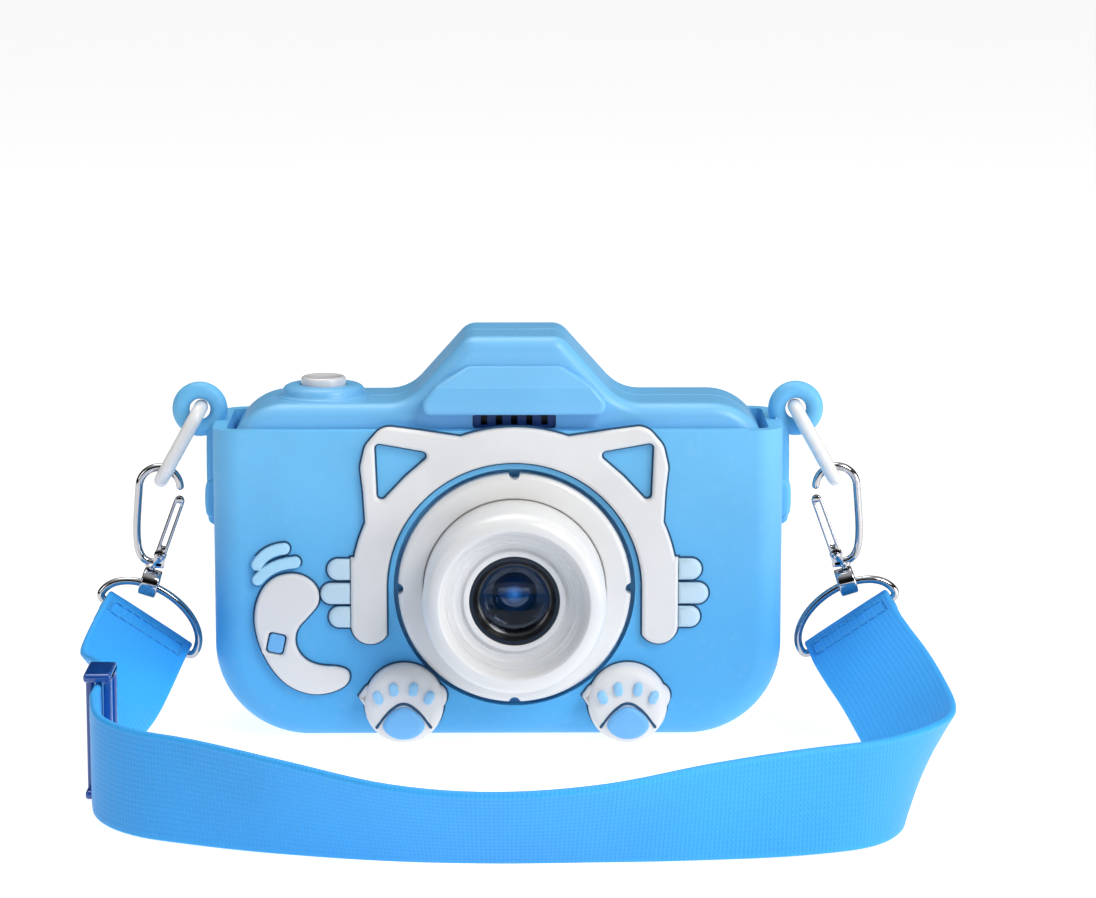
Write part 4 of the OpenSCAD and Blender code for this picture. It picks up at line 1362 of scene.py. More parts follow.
@dataclass(frozen=True)
class StrapHardware:
    """One side's link, snap hook, gate, swivel eye and D-ring."""

    side: Side
    lug: Vector = LUG
    bar: Vector = RING_BAR
    bar_tilt: float = RING_TILT
    ring_half: float = 9.0
    ring_height: float = 6.5
    ring_corner: float = 0.9
    wire: float = 0.65
    eye: Vector = Vector((-56.4269, 0, 23.0881))
    lean: float = 7.0
    eye_turn: float = 11.0
    link_wire: float = 1.15
    link_half: float = 3.1
    link_rise: float = 0.37
    seat: float = 17.0
    gate_foot: Flat = (1.15, 4.7)

    def hook_stand(self) -> Stand:
        """The hook's own frame, from the middle of the swivel eye."""
        return Stand.leaning(self.eye, self.lean)

    def _dress(
        self, draft: Draft, name: str, finish: Finish, body: str, nodes: Sequence[str]
    ) -> bpy.types.Object:
        """Builds one piece for this side and says which nodes it stands for."""
        made = piece(draft.mirrored(self.side), f"{name}_{self.side.value}", finish, body)
        if nodes:
            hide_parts(*[f"{n}_{self.side.value}" for n in nodes])
        return made

    def link(self) -> bpy.types.Object:
        """White plastic loop between the lug and the hook."""
        hook = self.hook_stand()
        seat = hook.origin + hook.y * self.seat
        run = self.lug - seat
        lean = math.degrees(math.atan2(run.x, run.z))
        stand = Stand.leaning(self.lug, lean)
        half, low, high = self.link_half, -run.length, self.link_rise - self.link_half
        ends = arc((0, high), (half, half), 0, 180, 20) + arc((0, low + half), (half, half), 180, 360, 20)
        path = [stand.origin + Y_AXIS * p[0] + stand.y * p[1] for p in ends]
        draft = tube(path, self.link_wire, stand.x, closed=True, sides=24)
        return self._dress(draft, "loop_link", Finish.LINK, f"{self.side.value}_link", ["link"])

    def hook(self) -> bpy.types.Object:
        """Bent wire hook with its ears, riveted pin, collar and shank."""
        stand = self.hook_stand()
        bow = arc((-0.1, 15.8), (3.3, 3.3), 10, 180, 28)
        foot = [(-3.3, 13), (-3.1, 9), (-2.75, 6.5), (-2.3, 4.9), (-1.6, 3.9), (-0.6, 3.4), (0.9, 3.3)]
        draft = tube([stand.at(*p) for p in smooth(bow + foot, 2)], self.wire, Y_AXIS)
        u, v = self.gate_foot
        for side in (-1, 1):
            ear = Outline.of(arc((u, v), (0.95, 0.95), 0, 180, 16) + [(u - 0.9, 3.0), (u + 0.75, 3.0)])
            levels = rounding(0.7, 1.2, 0.12, 0.12, 2)
            draft.join(ear.slab([(w * side, d) for w, d in levels], stand))
            head = [(0.0, 1.2), (0.55, 1.2), (0.5, 1.34), (0.3, 1.44), (0.0, 1.47)]
            draft.join(lathe(head, Stand(stand.at(u, v), stand.x, stand.y, Y_AXIS * side), 20))
        draft.join(tube([stand.at(u, v, -1.2), stand.at(u, v, 1.2)], 0.4, stand.x, sides=16))
        saddle = Outline.of(round_box(1.7, 2.4, 0.4, (u, 0.0)))
        plan = Stand(stand.origin, stand.x, Y_AXIS, stand.y)
        draft.join(saddle.slab(rounding(2.75, 3.75, 0.2, 0.2, 2), plan))
        collar = [(0.0, 2.63), (0.95, 2.63), (1.1, 2.75), (1.1, 3.05), (0.95, 3.2), (0.55, 3.35), (0.0, 3.4)]
        draft.join(lathe(collar, plan, 28))
        shank = [
            (0.0, 0.5), (0.75, 0.5), (0.95, 0.62), (0.95, 0.8), (0.8, 0.9), (0.55, 0.92), (0.55, 2.7), (0.0, 2.7),
        ]
        draft.join(lathe(shank, plan, 24))
        return self._dress(
            draft, "snap_hook", Finish.CHROME, f"{self.side.value}_hook", ["hook", "gate_pin"]
        )

    def gate(self) -> bpy.types.Object:
        """Sprung lever: a pressed loop that narrows upwards, with a ribbed sleeve at its foot."""
        stand = self.hook_stand()
        low, high = self.gate_foot, (3.3, 13.95)
        draft = Outline.of(
            capsule(low, high, 0.9, 0.85), capsule(between(low, high, 0.2), between(low, high, 0.93), 0.36, 0.34)
        ).slab(rounding(-0.6, 0.6, 0.24, 0.24, 3), stand)
        sleeve = [(0.46, -0.62), (0.9, -0.62)]
        for k in range(5):
            w = -0.5 + 0.25 * k
            sleeve += [(0.98, w - 0.06), (1.02, w), (0.98, w + 0.06), (0.93, w + 0.12)]
        sleeve += [(0.9, 0.62), (0.46, 0.62)]
        draft.join(lathe(sleeve, Stand(stand.at(*low), stand.x, stand.y, Y_AXIS), 28))
        return self._dress(draft, "hook_gate", Finish.CHROME, f"{self.side.value}_gate", ["gate"])

    def swivel(self) -> bpy.types.Object:
        """Rolled eye that carries the hook's shank on the D-ring."""
        stand = self.hook_stand()
        a = math.radians(self.eye_turn)
        axis = stand.x * math.cos(a) - stand.y * math.sin(a)
        across = stand.x * math.sin(a) + stand.y * math.cos(a)
        eye = Stand(self.eye, Y_AXIS, across, axis)
        band = round_box(0.85, 3.0, 0.35, (1.875, 0.0), 4)
        turned = lathe(band, eye, 48).mirrored(self.side).build(f"swivel_eye_{self.side.value}")
        plan = Stand(stand.origin, stand.x, Y_AXIS, stand.y)
        hole = Outline.of(circle((0, 0), 0.6, 24)).slab([(0.3, 0), (5, 0)], plan)
        combine(turned, "DIFFERENCE", [hole.mirrored(self.side).build("hole")])
        crisp(turned, 34)
        show(turned, Finish.CHROME, Body.CAMERA.value)
        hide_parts(f"swivel_{self.side.value}")
        return turned

    def ring(self) -> bpy.types.Object:
        """D-ring bent from one wire, with its butt joint in the bar."""
        stand = Stand.leaning(self.bar, self.bar_tilt)
        c, side = self.ring_corner, self.ring_half - self.ring_corner
        path = (
            arc((0, c), (self.ring_half, self.ring_height - c), 0, 180, 40)
            + arc((-side, c), (c, c), 200, 270, 6)
            + arc((side, c), (c, c), 270, 340, 6)
        )
        draft = tube([stand.at(*p) for p in path], self.wire, Y_AXIS, closed=True)
        return self._dress(draft, "d_ring", Finish.CHROME, Body.CAMERA.value, ["ring"])

    def build(self) -> list[bpy.types.Object]:
        """Makes every piece of this side; returns those that hang on the strap."""
        self.link()
        return [self.hook(), self.gate(), self.swivel(), self.ring()]


def between(first: Flat, last: Flat, share: float) -> Flat:
    """Point between two points."""
    return (first[0] + (last[0] - first[0]) * share, first[1] + (last[1] - first[1]) * share)


def capsule(first: Flat, last: Flat, r_first: float, r_last: float) -> list[Flat]:
    """Outline round two circles.

    Args:
        first: centre of the first circle.
        last: centre of the last circle.
        r_first: its radius.
        r_last: the other radius.

    Returns:
        The points in order.
    """
    a = math.degrees(math.atan2(last[1] - first[1], last[0] - first[0]))
    return arc(first, (r_first, r_first), a + 90, a + 270, 14) + arc(last, (r_last, r_last), a - 90, a + 90, 14)


def smooth(points: Sequence[Flat], times: int) -> list[Flat]:
    """Cuts the corners of an open line."""
    line = list(points)
    for _ in range(times):
        cut = [line[0]]
        for a, b in zip(line, line[1:]):
            cut += [between(a, b, 0.25), between(a, b, 0.75)]
        line = cut + [line[-1]]
    return line


# ------------------------------------------------------------------ case and cat


def blank(outline: Outline, levels: Sequence[Flat], stand: Stand = UPRIGHT, name: str = "tool") -> bpy.types.Object:
    """A bare solid for cutting or joining."""
    return outline.slab(levels, stand).build(name)


def rod(at: Flat, radius: float, front: float, back: float, steps: int = 64) -> bpy.types.Object:
    """A bare cylinder along Y for cutting."""
    return blank(Outline.of(circle(at, radius, steps)), [(front, 0), (back, 0)])


@dataclass(frozen=True)
class SiliconeCase:
    """Soft case: rounded shell with an open back, a lens hole, a port window and two strap lugs."""

    half: float = 45.3
    top: float = 50.0
    corner: float = 15.0
    front: float = -12.2
    back: float = 12.4
    edge: float = 4.6
    wall: float = 2.3
    lip: float = 6.0
    room: float = 9.9
    lens: Flat = LENS_CENTRE
    hole: float = 19.2
    lug: Vector = LUG

    def outline(self, inset: float, top: float) -> Outline:
        """Outline of the case, straight at the top."""
        r, w = self.corner - inset, self.half - inset
        left = arc((-w + r, inset + r), (r, r), 180, 270, 28)
        right = arc((w - r, inset + r), (r, r), 270, 360, 28)
        return Outline.of(left + right + [(w, top), (-w, top)])

    def build_shell(self) -> None:
        """Makes the shell."""
        item = blank(self.outline(0, 62), rounding(self.front, self.back, self.edge, self.edge, 10), name="case_shell")
        above = blank(Outline.of(round_box(140, 60, 1, (0, self.top + 30))), [(-40, 0), (40, 0)])
        cavity = blank(self.outline(self.wall, 80), rounding(-self.room, self.room, 1.2, 1.2, 3))
        opening = blank(self.outline(self.lip, 80), [(0, 0), (30, 0)])
        port = Outline.of(round_box(9.6, 23.0, 2.0, (1.2, 21.0)))
        window = blank(port, [(30, 0), (60, 0)], Stand(Vector((0, 0, 0)), Y_AXIS, Z_AXIS, X_AXIS))
        combine(item, "DIFFERENCE", [above, cavity, opening, rod(self.lens, self.hole, -30, 0, 128), window])
        soften(item, 0.55, 50.0)
        show(item, Finish.CASE, Body.CAMERA.value)
        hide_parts("silicone_case")

    def build_lug(self, side: Side) -> None:
        """Makes one lug: a ring on a rib with a thicker foot."""
        lug = self.lug
        path = [Vector((lug.x + p[0], 0, lug.z + p[1])) for p in circle((0, 0), 3.05, 48)]
        draft = tube(path, 1.4, Y_AXIS, closed=True, sides=28)
        rib = [(-44.6, 50.6), (-45.6, 50.2), (-46.6, 48.9), (-46.9, 47.6), (-46.9, 34), (-46.4, 33), (-44.6, 32.4)]
        draft.join(Outline.of(smooth(rib, 2)).slab(rounding(-1.7, 1.7, 0.7, 0.7)))
        foot = [(-44.6, 40.8), (-46.4, 40.4), (-47.2, 39.5), (-47.2, 35), (-46.6, 34.1), (-44.6, 33.8)]
        draft.join(Outline.of(smooth(foot, 2)).slab(rounding(-2.3, 2.3, 0.8, 0.8)))
        made = piece(draft.mirrored(side), f"case_lug_{side.value}", Finish.CASE, Body.CAMERA.value)

    def build(self) -> None:
        """Makes the case with both lugs."""
        self.build_shell()
        for side in Side:
            self.build_lug(side)


@dataclass(frozen=True)
class CatMotif:
    """Generic cat on the front: band with ears and arms, fingers, striped tail and two paws."""

    relief: float = -13.5
    face: float = -12.2
    # width of the dark sheet of painted shade round each raised shape
    line: float = 0.3
    paws: tuple[Flat, Flat] = ((-15.0, 6.3), (20.6, 6.3))
    paw_radius: float = 6.3
    paw_front: float = -16.5

    def raised(
        self, node: str, front: float, finish: Finish, edge: float = 0.6, shade_lined: bool = True
    ) -> None:
        """Makes one raised shape with soft edges and a dark sheet round it on the case: painted shade of the gap.

        Args:
            node: the frame's node that gives the outline.
            front: depth of its front face along Y.
            finish: what it wears.
            edge: radius of its rounding.
            shade_lined: whether it gets the painted shade round it.
        """
        outline = Outline.from_node(node, front)
        draft = outline.slab(rounding(front, self.face + 0.1, edge))
        made = piece(draft, f"{node}_soft", finish, Body.CAMERA.value, 50)
        even(made)
        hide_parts(node)
        if shade_lined:
            # Painted shade: a dark sheet just behind the edge, standing in for the shadow gap round the shape.
            around = outline.grown(self.line).slab([(self.face - 0.1, 0), (self.face + 0.2, 0)])
            painted_shade_line = piece(around, f"{node}_line", Finish.INK, Body.CAMERA.value)

    def paw(self, name: str, at: Flat) -> None:
        """Makes one paw: a domed pad with side corners; pads makes its four toes and heel."""
        stand = Stand(Vector((at[0], 0, at[1])), X_AXIS, Z_AXIS, -Y_AXIS)
        r, out, base = self.paw_radius, -self.paw_front, -self.face - 0.2
        rim = [(r - 2.0 + p[0], out - 2.15 + p[1]) for p in arc((0, 0), (2.0, 2.0), 0, 90, 9)]
        dome = [(0, base), (r, base)] + rim + [(3.0, out - 0.04), (0, out)]
        draft = lathe(dome, stand, 96)
        turn = [(-7.2, 0.4), (-5.6, 2.6), (0, 3.0), (5.6, 2.6), (7.2, 0.4), (5.4, -2.4), (-5.4, -2.4), (-7.2, 0.4)]
        cheek = smooth(turn, 2)[:-1]
        seat = Stand(Vector((at[0], 0, self.paw_radius + 0.6)), X_AXIS, Z_AXIS, Y_AXIS)
        draft.join(Outline.of(cheek).slab(rounding(self.paw_front + 1.6, self.face + 0.2, 1.0), seat))
        made = piece(draft, f"{name}_soft", Finish.MOTIF, Body.CAMERA.value, 50)
        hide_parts(name)
        # Painted shade: a dark disc behind the dome and a dark rim round the cheeks, standing in for the shadow gap
        # round the paw.
        painted_shade_line = lathe([(0, base), (r + 0.3, base), (r + 0.3, base + 0.3), (0, base + 0.3)], stand, 96)
        painted_shade_line.join(Outline.of(cheek).grown(self.line).slab([(self.face - 0.1, 0), (self.face + 0.2, 0)], seat))
        piece(painted_shade_line, f"{name}_line", Finish.INK, Body.CAMERA.value)

    def pads(self) -> None:
        """Makes the toe beans and heels of both paws, each heel under an arched line."""
        toes = Outline.from_node("paw_pads", self.paw_front - 0.6)
        draft = toes.slab(rounding(self.paw_front - 0.6, self.paw_front + 0.5, 0.45))
        toes_made = piece(draft, "paw_toes", Finish.TOE, Body.CAMERA.value, 50)
        heels = Outline.from_node("paw_pads", self.paw_front - 0.9)
        draft = heels.slab(rounding(self.paw_front - 0.9, self.paw_front + 0.9, 0.8))
        made = piece(draft, "paw_heels", Finish.PAD, Body.CAMERA.value, 50)
        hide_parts("paw_pads")
        arches = Draft()
        for x, z in self.paws:
            bow = smooth([(-4.3, -3.4), (-2.5, -0.75), (0, 0.95), (2.5, -0.75), (4.3, -3.4)], 3)
            path = [Vector((x + u, self.paw_front + 0.04 + 0.012 * (u * u + v * v), z + v)) for u, v in bow]
            arches.join(tube(path, 0.24, Y_AXIS, sides=10))
        piece(arches, "paw_arches", Finish.INK, Body.CAMERA.value, 50)

    def build(self) -> None:
        """Makes the whole motif."""
        self.raised("cat_relief", self.relief, Finish.MOTIF)
        self.raised("cat_fingers", self.relief + 0.2, Finish.FINGER, 0.8)
        self.raised("tail_relief", self.relief, Finish.MOTIF)
        self.raised("tail_badge", self.relief + 0.3, Finish.PAD, 0.3, False)
        self.raised("tail_stripes", self.relief + 0.3, Finish.PALE, 0.3)
        for name, at in zip(("paw_left", "paw_right"), self.paws):
            self.paw(name, at)
        self.pads()


# ------------------------------------------------------------------ body, lens and rear


@dataclass(frozen=True)
class HardBody:
    """Two shells with a brow over the grille, a shutter collar and an arch round the rear window."""

    depth: float = 9.8
    wall: float = 1.6
    edge: float = 2.3
    hump: float = HUMP_MIDDLE
    lens: Flat = LENS_CENTRE
    barrel: float = 14.5
    shutter: float = SHUTTER_X
    shutter_hole: float = 3.75
    round_keys: tuple[tuple[float, float, float], ...] = ((-28, 43, 3.1), (-30.5, 30.9, 2.9), (-30.6, 13.8, 2.9))
    screws: tuple[Flat, ...] = ((29, 49.5), (-22.8, 49.5), (36.6, 7.6), (-36.6, 7.6))

    def outline(self) -> Outline:
        """Outline of the body, from the frame."""
        rings = Outline.from_node("rear_shell", self.depth - 1.2).rings
        return Outline([max(rings, key=lambda r: abs(_area(r)))])

    def half(self, name: str, front: float, back: float, at_front: float, at_back: float) -> bpy.types.Object:
        """One bare half of the body, hollow."""
        outline = self.outline()
        outer = rounding(front, back, at_front, at_back, 9)
        item = blank(outline, outer, name=name)
        room = Outline(outline.inset(self.wall + 0.4))
        sides = (-40.0, self.depth - self.wall) if back > 1 else (-self.depth + self.wall, 40.0)
        return combine(item, "DIFFERENCE", [blank(room, [(sides[0], 0), (sides[1], 0)])])

    def shutter_cut(self) -> bpy.types.Object:
        """Tool for the shutter's hole."""
        hole = circle((self.shutter, 0), self.shutter_hole, 64)
        return blank(Outline.of(hole), [(40, 0), (70, 0)], PLAN)

    def side_cuts(self) -> list[bpy.types.Object]:
        """Tools for the charging and card slots."""
        stand = Stand(Vector((0, 0, 0)), Y_AXIS, Z_AXIS, X_AXIS)
        charge = Outline.of(round_box(3.1, 8.0, 1.5, (-0.2, 14)))
        card = Outline.of(round_box(1.2, 11.6, 0.4, (3.05, 25.5)))
        return [blank(o, [(30, 0), (50, 0)], stand) for o in (charge, card)]

    def brow(self) -> bpy.types.Object:
        """Bare brow: one smooth skin round its lip, its belly and its crease."""
        bars = ((29, 3.0, 1.4, 54.0, -13.0), (25.6, 2.0, 0.9, 56.2, -12.5), (16.4, 2.6, 1.2, 58.8, -10.8))
        draft = Draft()
        for width, height, corner, z, front in bars:
            bar = Outline.of(round_box(width, height, corner, (self.hump, z)))
            draft.add(bar.slab(rounding(front, -9, 0.8, 0, 5)).verts, [])
        made = draft.build("brow")

        def wrap(b: bmesh.types.BMesh) -> None:
            """Wraps the corners in their convex skin."""
            result = bmesh.ops.convex_hull(b, input=b.verts)
            loose = [*result["geom_interior"], *result["geom_unused"]]
            inner = {g for g in loose if isinstance(g, bmesh.types.BMVert)}
            bmesh.ops.delete(b, geom=list(inner), context="VERTS")

        edit(made, wrap)
        return made

    def build_front(self) -> None:
        """Makes the front shell with its brow."""
        item = self.half("body_front", -self.depth, -0.03, self.edge, 0.22)
        combine(item, "UNION", [self.brow()])
        mouth = blank(Outline.of(round_box(13.2, 2.6, 0.5, (self.hump, 51.3))), [(-14, 0), (-7.5, 0)])
        barrel = rod(self.lens, self.barrel, -20, 0, 128)
        combine(item, "DIFFERENCE", [barrel, mouth, self.shutter_cut(), *self.side_cuts()])
        crisp(item, 30.0)
        even(item)
        show(item, Finish.SHELL, Body.CAMERA.value)
        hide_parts("front_shell")

    def moon(self, at: Flat, side: int, grow: float) -> list[Flat]:
        """Outline of a half-moon key, straight on its -X side for side 1 and on the other for -1."""
        r, flat = 3.3 + grow, -2.35 - grow
        turn = math.degrees(math.acos((flat + 0.9) / r))
        curve = arc((-0.9, 0), (r, r), -turn, turn, 40)
        soft = 0.45
        low, high = curve[0], curve[-1]
        shape = [(low[0], low[1] + soft)] + [(low[0] + soft * 0.35, low[1] + soft * 0.3)] + curve[3:-3]
        shape += [(high[0] + soft * 0.35, high[1] - soft * 0.3), (high[0], high[1] - soft)]
        return [(at[0] + side * x, at[1] + z) for x, z in shape]

    def build_rear(self) -> None:
        """Makes the rear shell with every recess and hole."""
        item = self.half("body_rear", 0.03, self.depth, 0.22, self.edge)
        arch = blank(Outline.of(round_box(25.6, 13.4, 5, (self.hump, 53.5), 14)), rounding(9.0, 11.0, 0, 0.5, 5))
        inner = Outline.of(round_box(20.8, 13.4, 3.6, (self.hump, 52.3), 14))
        combine(arch, "DIFFERENCE", [
            blank(inner, [(5, 0), (10.5, 0), (10.7, -0.06), (10.85, -0.17), (11.02, -0.4), (20, -0.4)]),
            blank(Outline.of(round_box(40, 10, 0.5, (self.hump, 43.4))), [(0, 0), (20, 0)]),
        ])
        combine(item, "UNION", [arch])
        back = self.depth
        flared = [(0, 0), (back - 0.3, 0), (back - 0.12, -0.06), (back + 0.02, -0.25), (14, -0.3)]
        tools = [
            blank(
                Outline.of(round_box(50.5, 40.6, 4.7, (2.8, 27.9), 12)),
                [(8.5, 0), (9.5, 0), (9.62, -0.05), (9.75, -0.2), (14, -0.4)],
            ),
            blank(Outline.of(round_box(42, 32, 0.3, (2.8, 27.9))), [(0, 0), (14, 0)]),
            blank(Outline.of(round_box(11.7, 7.8, 1.7, REAR_LENS)), [(8.9, 0), (14, 0)]),
            rod(REAR_LENS, 2.6, 0, 14),
            rod((-24, 36), 0.5, 0, 14, 32),
            self.shutter_cut(),
            *self.side_cuts(),
        ]
        for x, z, r in self.round_keys:
            tools.append(blank(Outline.of(circle((x, z), r, 64)), flared))
        for at, side in ((LEFT_KEY_AT, 1), (RIGHT_KEY_AT, -1)):
            tools.append(blank(Outline.of(self.moon(at, side, 0.15)), flared))
        for at in self.screws:
            tools += [rod(at, 0.95, 0, 14, 32), rod(at, 1.75, back - 1.5, 14, 48)]
        combine(item, "DIFFERENCE", tools)
        crisp(item, 30.0)
        even(item)
        show(item, Finish.SHELL, Body.CAMERA.value)
        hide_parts("rear_shell")

    def build_collar(self) -> None:
        """Makes the raised collar of the shutter, with a flared foot."""
        hole = self.shutter_hole
        outside = [
            (7.6, 53.2), (7.3, 53.9), (6.95, 54.0), (6.7, 54.25), (6.6, 54.6),
            (6.5, 55.0), (6.2, 55.35), (5.7, 55.6), (5.2, 55.7),
        ]
        inside = [(hole + 0.3, 55.7), (hole + 0.08, 55.62), (hole, 55.4), (hole, 52.4)]
        draft = lathe(outside + inside, Stand(Vector((self.shutter, 0, 0)), X_AXIS, Y_AXIS, Z_AXIS), 96)
        piece(draft, "shutter_collar", Finish.SHELL, Body.CAMERA.value, 40)

    def build(self) -> None:
        """Makes both shells and the collar."""
        self.build_front()
        self.build_rear()
        self.build_collar()


@dataclass(frozen=True)
class LensUnit:
    """Notched ring, stepped barrel, black bezel, clear glass and an inner element with a painted glowing glint, turned
    about the lens axis.
    """

    centre: Flat = LENS_CENTRE
    base: float = -9.8

    def stand(self) -> Stand:
        """The lens axis: heights run out of the body's front."""
        return Stand(Vector((self.centre[0], self.base, self.centre[1])), X_AXIS, Z_AXIS, -Y_AXIS)

    def turned(
        self, profile: Sequence[Flat], name: str, finish: Finish, node: str, slot: str, steps: int = 160
    ) -> bpy.types.Object:
        """Makes one turned piece.

        Args:
            profile: closed loop of (radius, height).
            name: the piece's name.
            finish: what it wears.
            node: node of the frame that it stands for, or nothing.
            slot: the record's material slot; not used.
            steps: faces round it.

        Returns:
            The piece.
        """
        made = piece(lathe(profile, self.stand(), steps), name, finish, Body.CAMERA.value, 28)
        if node:
            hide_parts(node)
        return made

    def build_ring(self) -> None:
        """Makes the ring with its four round notches."""
        outer = arc((17.6, 2.5), (0.9, 0.9), 0, 90, 8)
        inner = arc((14.9, 3.0), (0.4, 0.4), 90, 180, 5)
        section = [(14.5, 0.0), (18.5, 0.0), *outer, *inner]
        ring = self.turned(section, "lens_ring_soft", Finish.TRIM, "lens_ring", "white_plastic")
        notches = []
        for turn in (0, 90, 180, 270):
            a = math.radians(turn)
            x, z = self.centre[0] + 18.5 * math.sin(a), self.centre[1] + 18.5 * math.cos(a)
            notches.append(rod((x, z), 0.9, -20, -5, 40))
        combine(ring, "DIFFERENCE", notches)
        soften(ring, 0.18, 50.0, 2)

    def build(self) -> None:
        """Makes every piece of the lens."""
        self.build_ring()
        nose = arc((11.9, 13.7), (2.5, 2.5), 0, 90, 14)
        cone = [
            (11.7, 16.05), (11.45, 15.6), (11.2, 14.75), (10.95, 14.05), (10.75, 13.8), (10.4, 13.72), (10.32, 13.5),
            (9.75, 13.34), (9.62, 13.05), (9.5, 12.6), (9.35, 12.45), (8.4, 12.2), (8.2, 12.25), (8.05, 12.55),
            (7.9, 12.68), (7.4, 12.66), (7.16, 12.55), (7.1, 12.4), (7.14, 12.28), (7.5, 12.26),
        ]
        body = [(9, -3.2), (16.6, -3.2), (16.6, -1.8), (14.4, -1.8), *nose, *cone, (7.5, 3.2), (9, 3.2)]
        self.turned(body, "lens_barrel_soft", Finish.TURNED, "lens_barrel", "white_plastic", 192)
        lip = arc((6.95, 11.72), (0.45, 0.45), 0, 110, 6)
        bezel = [(5.5, 5), (7.4, 5), *lip, (6.5, 12.15), (6.2, 11.75), (6.0, 11.2), (5.75, 10.95), (5.5, 10.8)]
        self.turned(bezel, "lens_bezel_soft", Finish.LENS_BLACK, "lens_bezel", "black_plastic")
        cap = dome(5.4, 10.05, 0.85, 10)
        self.turned([(0, 9.0), (5.4, 9.0), *cap], "lens_front_glass", Finish.CLEAR, "lens_glass", "lens_glass")
        # Inner element that carries the painted glowing blue glint.
        deep = dome(3.3, 5.6, 1.1, 10)
        self.turned([(0, 5.45), (3.3, 5.45), *deep], "lens_inner_glass", Finish.DEEP, "", "lens_glass")


@dataclass(frozen=True)
class RearPanel:
    """Screen, rear window and lens, five keys and the shutter button."""

    keys: tuple[tuple[str, Body, float, float, float], ...] = (
        ("power_button", Body.POWER_KEY, -28.0, 43.0, 2.95),
        ("up_button", Body.UP_KEY, -30.5, 30.9, 2.75),
        ("down_button", Body.DOWN_KEY, -30.6, 13.8, 2.75),
    )
    key_top: float = 11.1
    key_foot: float = 5.8
    window: Flat = REAR_LENS
    shutter: float = SHUTTER_X

    def _sheet(
        self, name: str, node: str, finish: Finish, shape: Outline, levels: Sequence[Flat]
    ) -> bpy.types.Object:
        """One flat piece of the back."""
        made = piece(shape.slab(levels), name, finish, Body.CAMERA.value, 40)
        if node:
            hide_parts(node)
        return made

    def build_windows(self) -> None:
        """Makes the screen window and the rear window with the lens behind it."""
        screen = Outline.of(round_box(50.3, 40.4, 4.6, (2.8, 27.9), 14))
        self._sheet("screen_glass", "screen_window", Finish.PICTURE, screen, rounding(8.6, 9.8, 0, 0.25))
        window = Outline.of(round_box(11.5, 7.6, 1.6, self.window, 10), circle(self.window, 1.5, 48))
        levels = rounding(9.0, 9.9, 0, 0.22)
        self._sheet("rear_window_glass", "viewfinder_window", Finish.WINDOW, window, levels)
        stand = Stand(Vector((self.window[0], 0, self.window[1])), X_AXIS, Z_AXIS, Y_AXIS)
        bulge = lathe([(0, 8.9), (1.42, 8.9), *dome(1.42, 9.15, 0.5, 8)], stand, 48)
        # The rear lens wears a painted glowing glint as well.
        eye = piece(bulge, "rear_lens_glass", Finish.REAR_DEEP, Body.CAMERA.value)
        # Two pale dots beside the rear lens: painted highlights that stand in for reflections.
        dots = Draft()
        for rise in (-0.75, 0.75):
            at = Stand(Vector((self.window[0] + 3.4, 0, self.window[1] + rise)), X_AXIS, Z_AXIS, Y_AXIS)
            dots.join(lathe([(0, 9.8), (0.32, 9.8), (0.32, 9.93), (0.2, 9.98), (0, 9.99)], at, 24))
        piece(dots, "rear_window_glint_dots", Finish.SILVER, Body.CAMERA.value)

    def glyph(self, name: str, body: Body, marks: Draft) -> None:
        """Makes a key's printed symbol."""
        piece(marks, f"{name}_symbol", Finish.GLYPH, body.value, 50)

    def arrow(self, at: Flat, turn: float) -> Draft:
        """A small chevron that points at that angle, seen from behind."""
        a = math.radians(turn)
        ahead, aside = Vector((math.cos(a), 0, math.sin(a))), Vector((-math.sin(a), 0, math.cos(a)))
        stand = Stand(Vector((at[0], 0, at[1])), ahead, aside, Y_AXIS)
        shape = [(0.85, 0.0), (-0.45, 1.15), (-0.75, 0.85), (0.2, 0.0), (-0.75, -0.85), (-0.45, -1.15)]
        return Outline.of(shape).slab([(self.key_top - 0.05, 0), (self.key_top + 0.03, 0)], stand)

    def build_keys(self) -> None:
        """Makes the five keys with their symbols."""
        for name, body, x, z, r in self.keys:
            stand = Stand(Vector((x, 0, z)), X_AXIS, Z_AXIS, Y_AXIS)
            edge = [(r - 0.55 + p[0], self.key_top - 0.6 + p[1]) for p in arc((0, 0), (0.55, 0.55), 0, 90, 6)]
            cap = [
                (0, self.key_foot), (1.1, self.key_foot), (1.1, 7.1), (r + 0.7, 7.1), (r + 0.7, 7.6), (r, 7.6),
                *edge, (r * 0.5, self.key_top), (0, self.key_top),
            ]
            key = piece(lathe(cap, stand, 72), f"{name}_cap", Finish.TRIM, body.value)
            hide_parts(name)
        house = HardBody()
        for name, body, at, side in (
            ("left_button", Body.LEFT_KEY, LEFT_KEY_AT, 1),
            ("right_button", Body.RIGHT_KEY, RIGHT_KEY_AT, -1),
        ):
            shape = Outline.of(house.moon(at, side, 0.0))
            draft = shape.slab(rounding(7.5, self.key_top, 0, 0.5, 6))
            draft.join(Outline.of(house.moon(at, side, 0.28)).slab([(7.1, 0), (7.6, 0)]))
            key = piece(draft, f"{name}_cap", Finish.TRIM, body.value)
            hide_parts(name)
        _, _, x, z, _ = self.keys[0]
        bow = [Vector((x + p[0], self.key_top, z + p[1])) for p in arc((0, 0), (1.2, 1.2), 125, 415, 30)]
        bar = [Vector((x, self.key_top, z + h)) for h in (0.35, 1.5)]
        sign = tube(bow, 0.13, Y_AXIS, sides=8).join(tube(bar, 0.13, Y_AXIS, sides=8))
        self.glyph("power_button", Body.POWER_KEY, sign)
        self.glyph("up_button", Body.UP_KEY, self.arrow((-30.5, 30.9), 90))
        self.glyph("down_button", Body.DOWN_KEY, self.arrow((-30.6, 13.8), -90))
        self.glyph("left_button", Body.LEFT_KEY, self.arrow((-28.3, 22.4), 0))
        self.glyph("right_button", Body.RIGHT_KEY, self.arrow((-32.6, 22.4), 180))

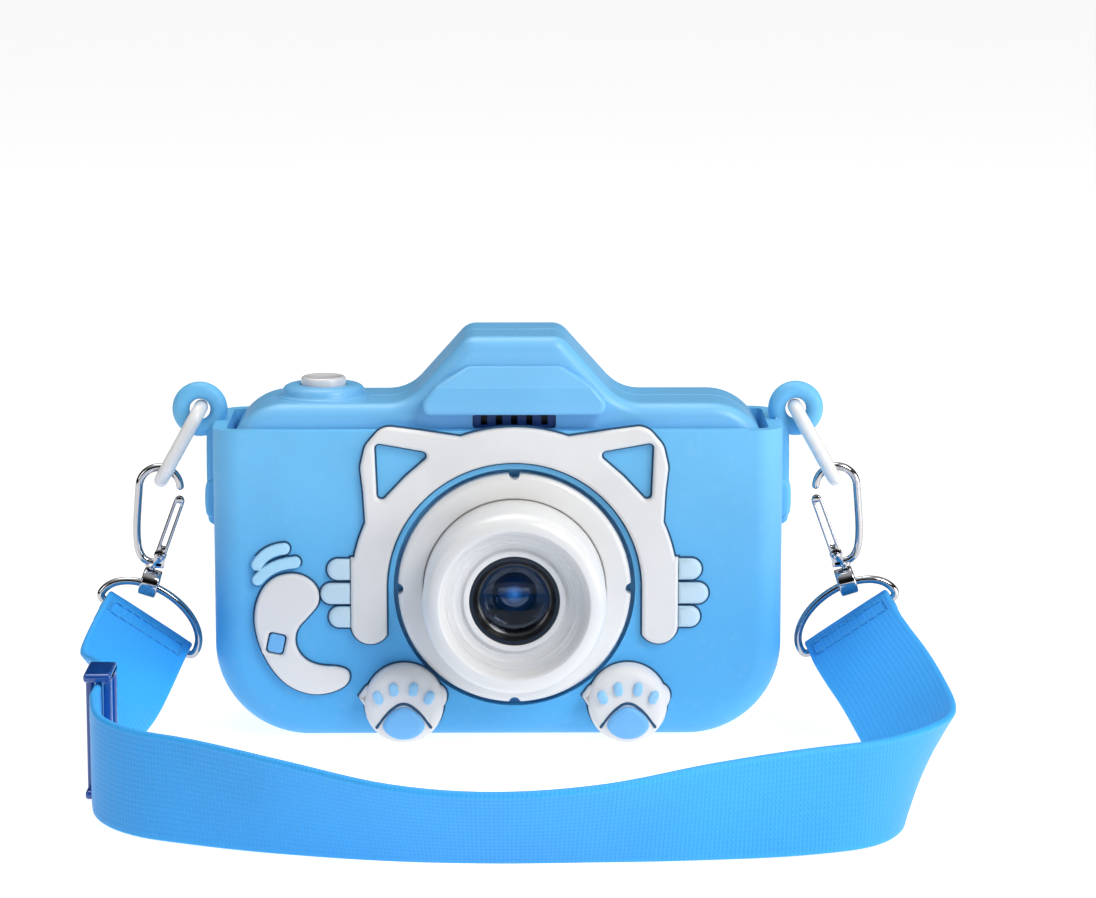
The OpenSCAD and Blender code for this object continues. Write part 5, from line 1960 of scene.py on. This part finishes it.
    def build_shutter(self) -> None:
        """Makes the shutter button with its dished top."""
        stand = Stand(Vector((self.shutter, 0, 0)), X_AXIS, Y_AXIS, Z_AXIS)
        edge = [(3.1 + p[0], 56.45 + p[1]) for p in arc((0, 0), (0.5, 0.5), 0, 90, 6)]
        dish = [(2.7, 56.9), (2.2, 56.78), (1.4, 56.66), (0.7, 56.6), (0, 56.58)]
        cap = [(0, 49.7), (1.2, 49.7), (1.2, 51.9), (3.6, 51.9), *edge, *dish]
        made = piece(lathe(cap, stand, 96), "shutter_cap", Finish.SILVER, Body.SHUTTER.value)
        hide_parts("shutter_button")

    def build(self) -> None:
        """Makes every piece of the back and the shutter."""
        self.build_windows()
        self.build_keys()
        self.build_shutter()


class Internals:
    """Nodes of the frame that keep their own shape and get a better finish."""

    wear: dict[str, Finish] = {
        "speaker_grille": Finish.GRILLE,
        "lens_cell": Finish.LENS_BLACK,
        "camera_module": Finish.CHIP,
        "selfie_module": Finish.CHIP,
        "shutter_switch": Finish.BLACK,
        "button_switches": Finish.BLACK,
        "lcd_panel": Finish.TIN,
        "main_board": Finish.BOARD,
        "board_chips": Finish.CHIP,
        "battery": Finish.FOIL,
        "speaker": Finish.BLACK,
        "microphone": Finish.TIN,
        "usb_socket": Finish.TIN,
        "card_socket": Finish.TIN,
        "memory_card": Finish.BLACK,
        "case_screws": Finish.SCREW,
    }

    def build(self, nodes: dict[str, bpy.types.Object]) -> None:
        """Dresses the nodes.

        Args:
            nodes: the frame's nodes by name.
        """
        for name, finish in self.wear.items():
            for slot in nodes[name].material_slots:
                slot.material = WARDROBE.get(finish)
            LOG.info("dressed %s", name)


def main() -> None:
    """Builds the whole camera on its frame."""
    logging.basicConfig(level=logging.INFO, format="%(name)s: %(message)s")
    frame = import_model()
    studio = Studio()
    studio.set_camera()
    hangers = [item for side in Side for item in StrapHardware(side).build()]
    NeckStrap().build(hangers)
    studio.set_lights()
    studio.set_floor()
    SiliconeCase().build()
    CatMotif().build()
    HardBody().build()
    LensUnit().build()
    RearPanel().build()
    Internals().build(frame["nodes"])


if __name__ == "__main__":
    main()
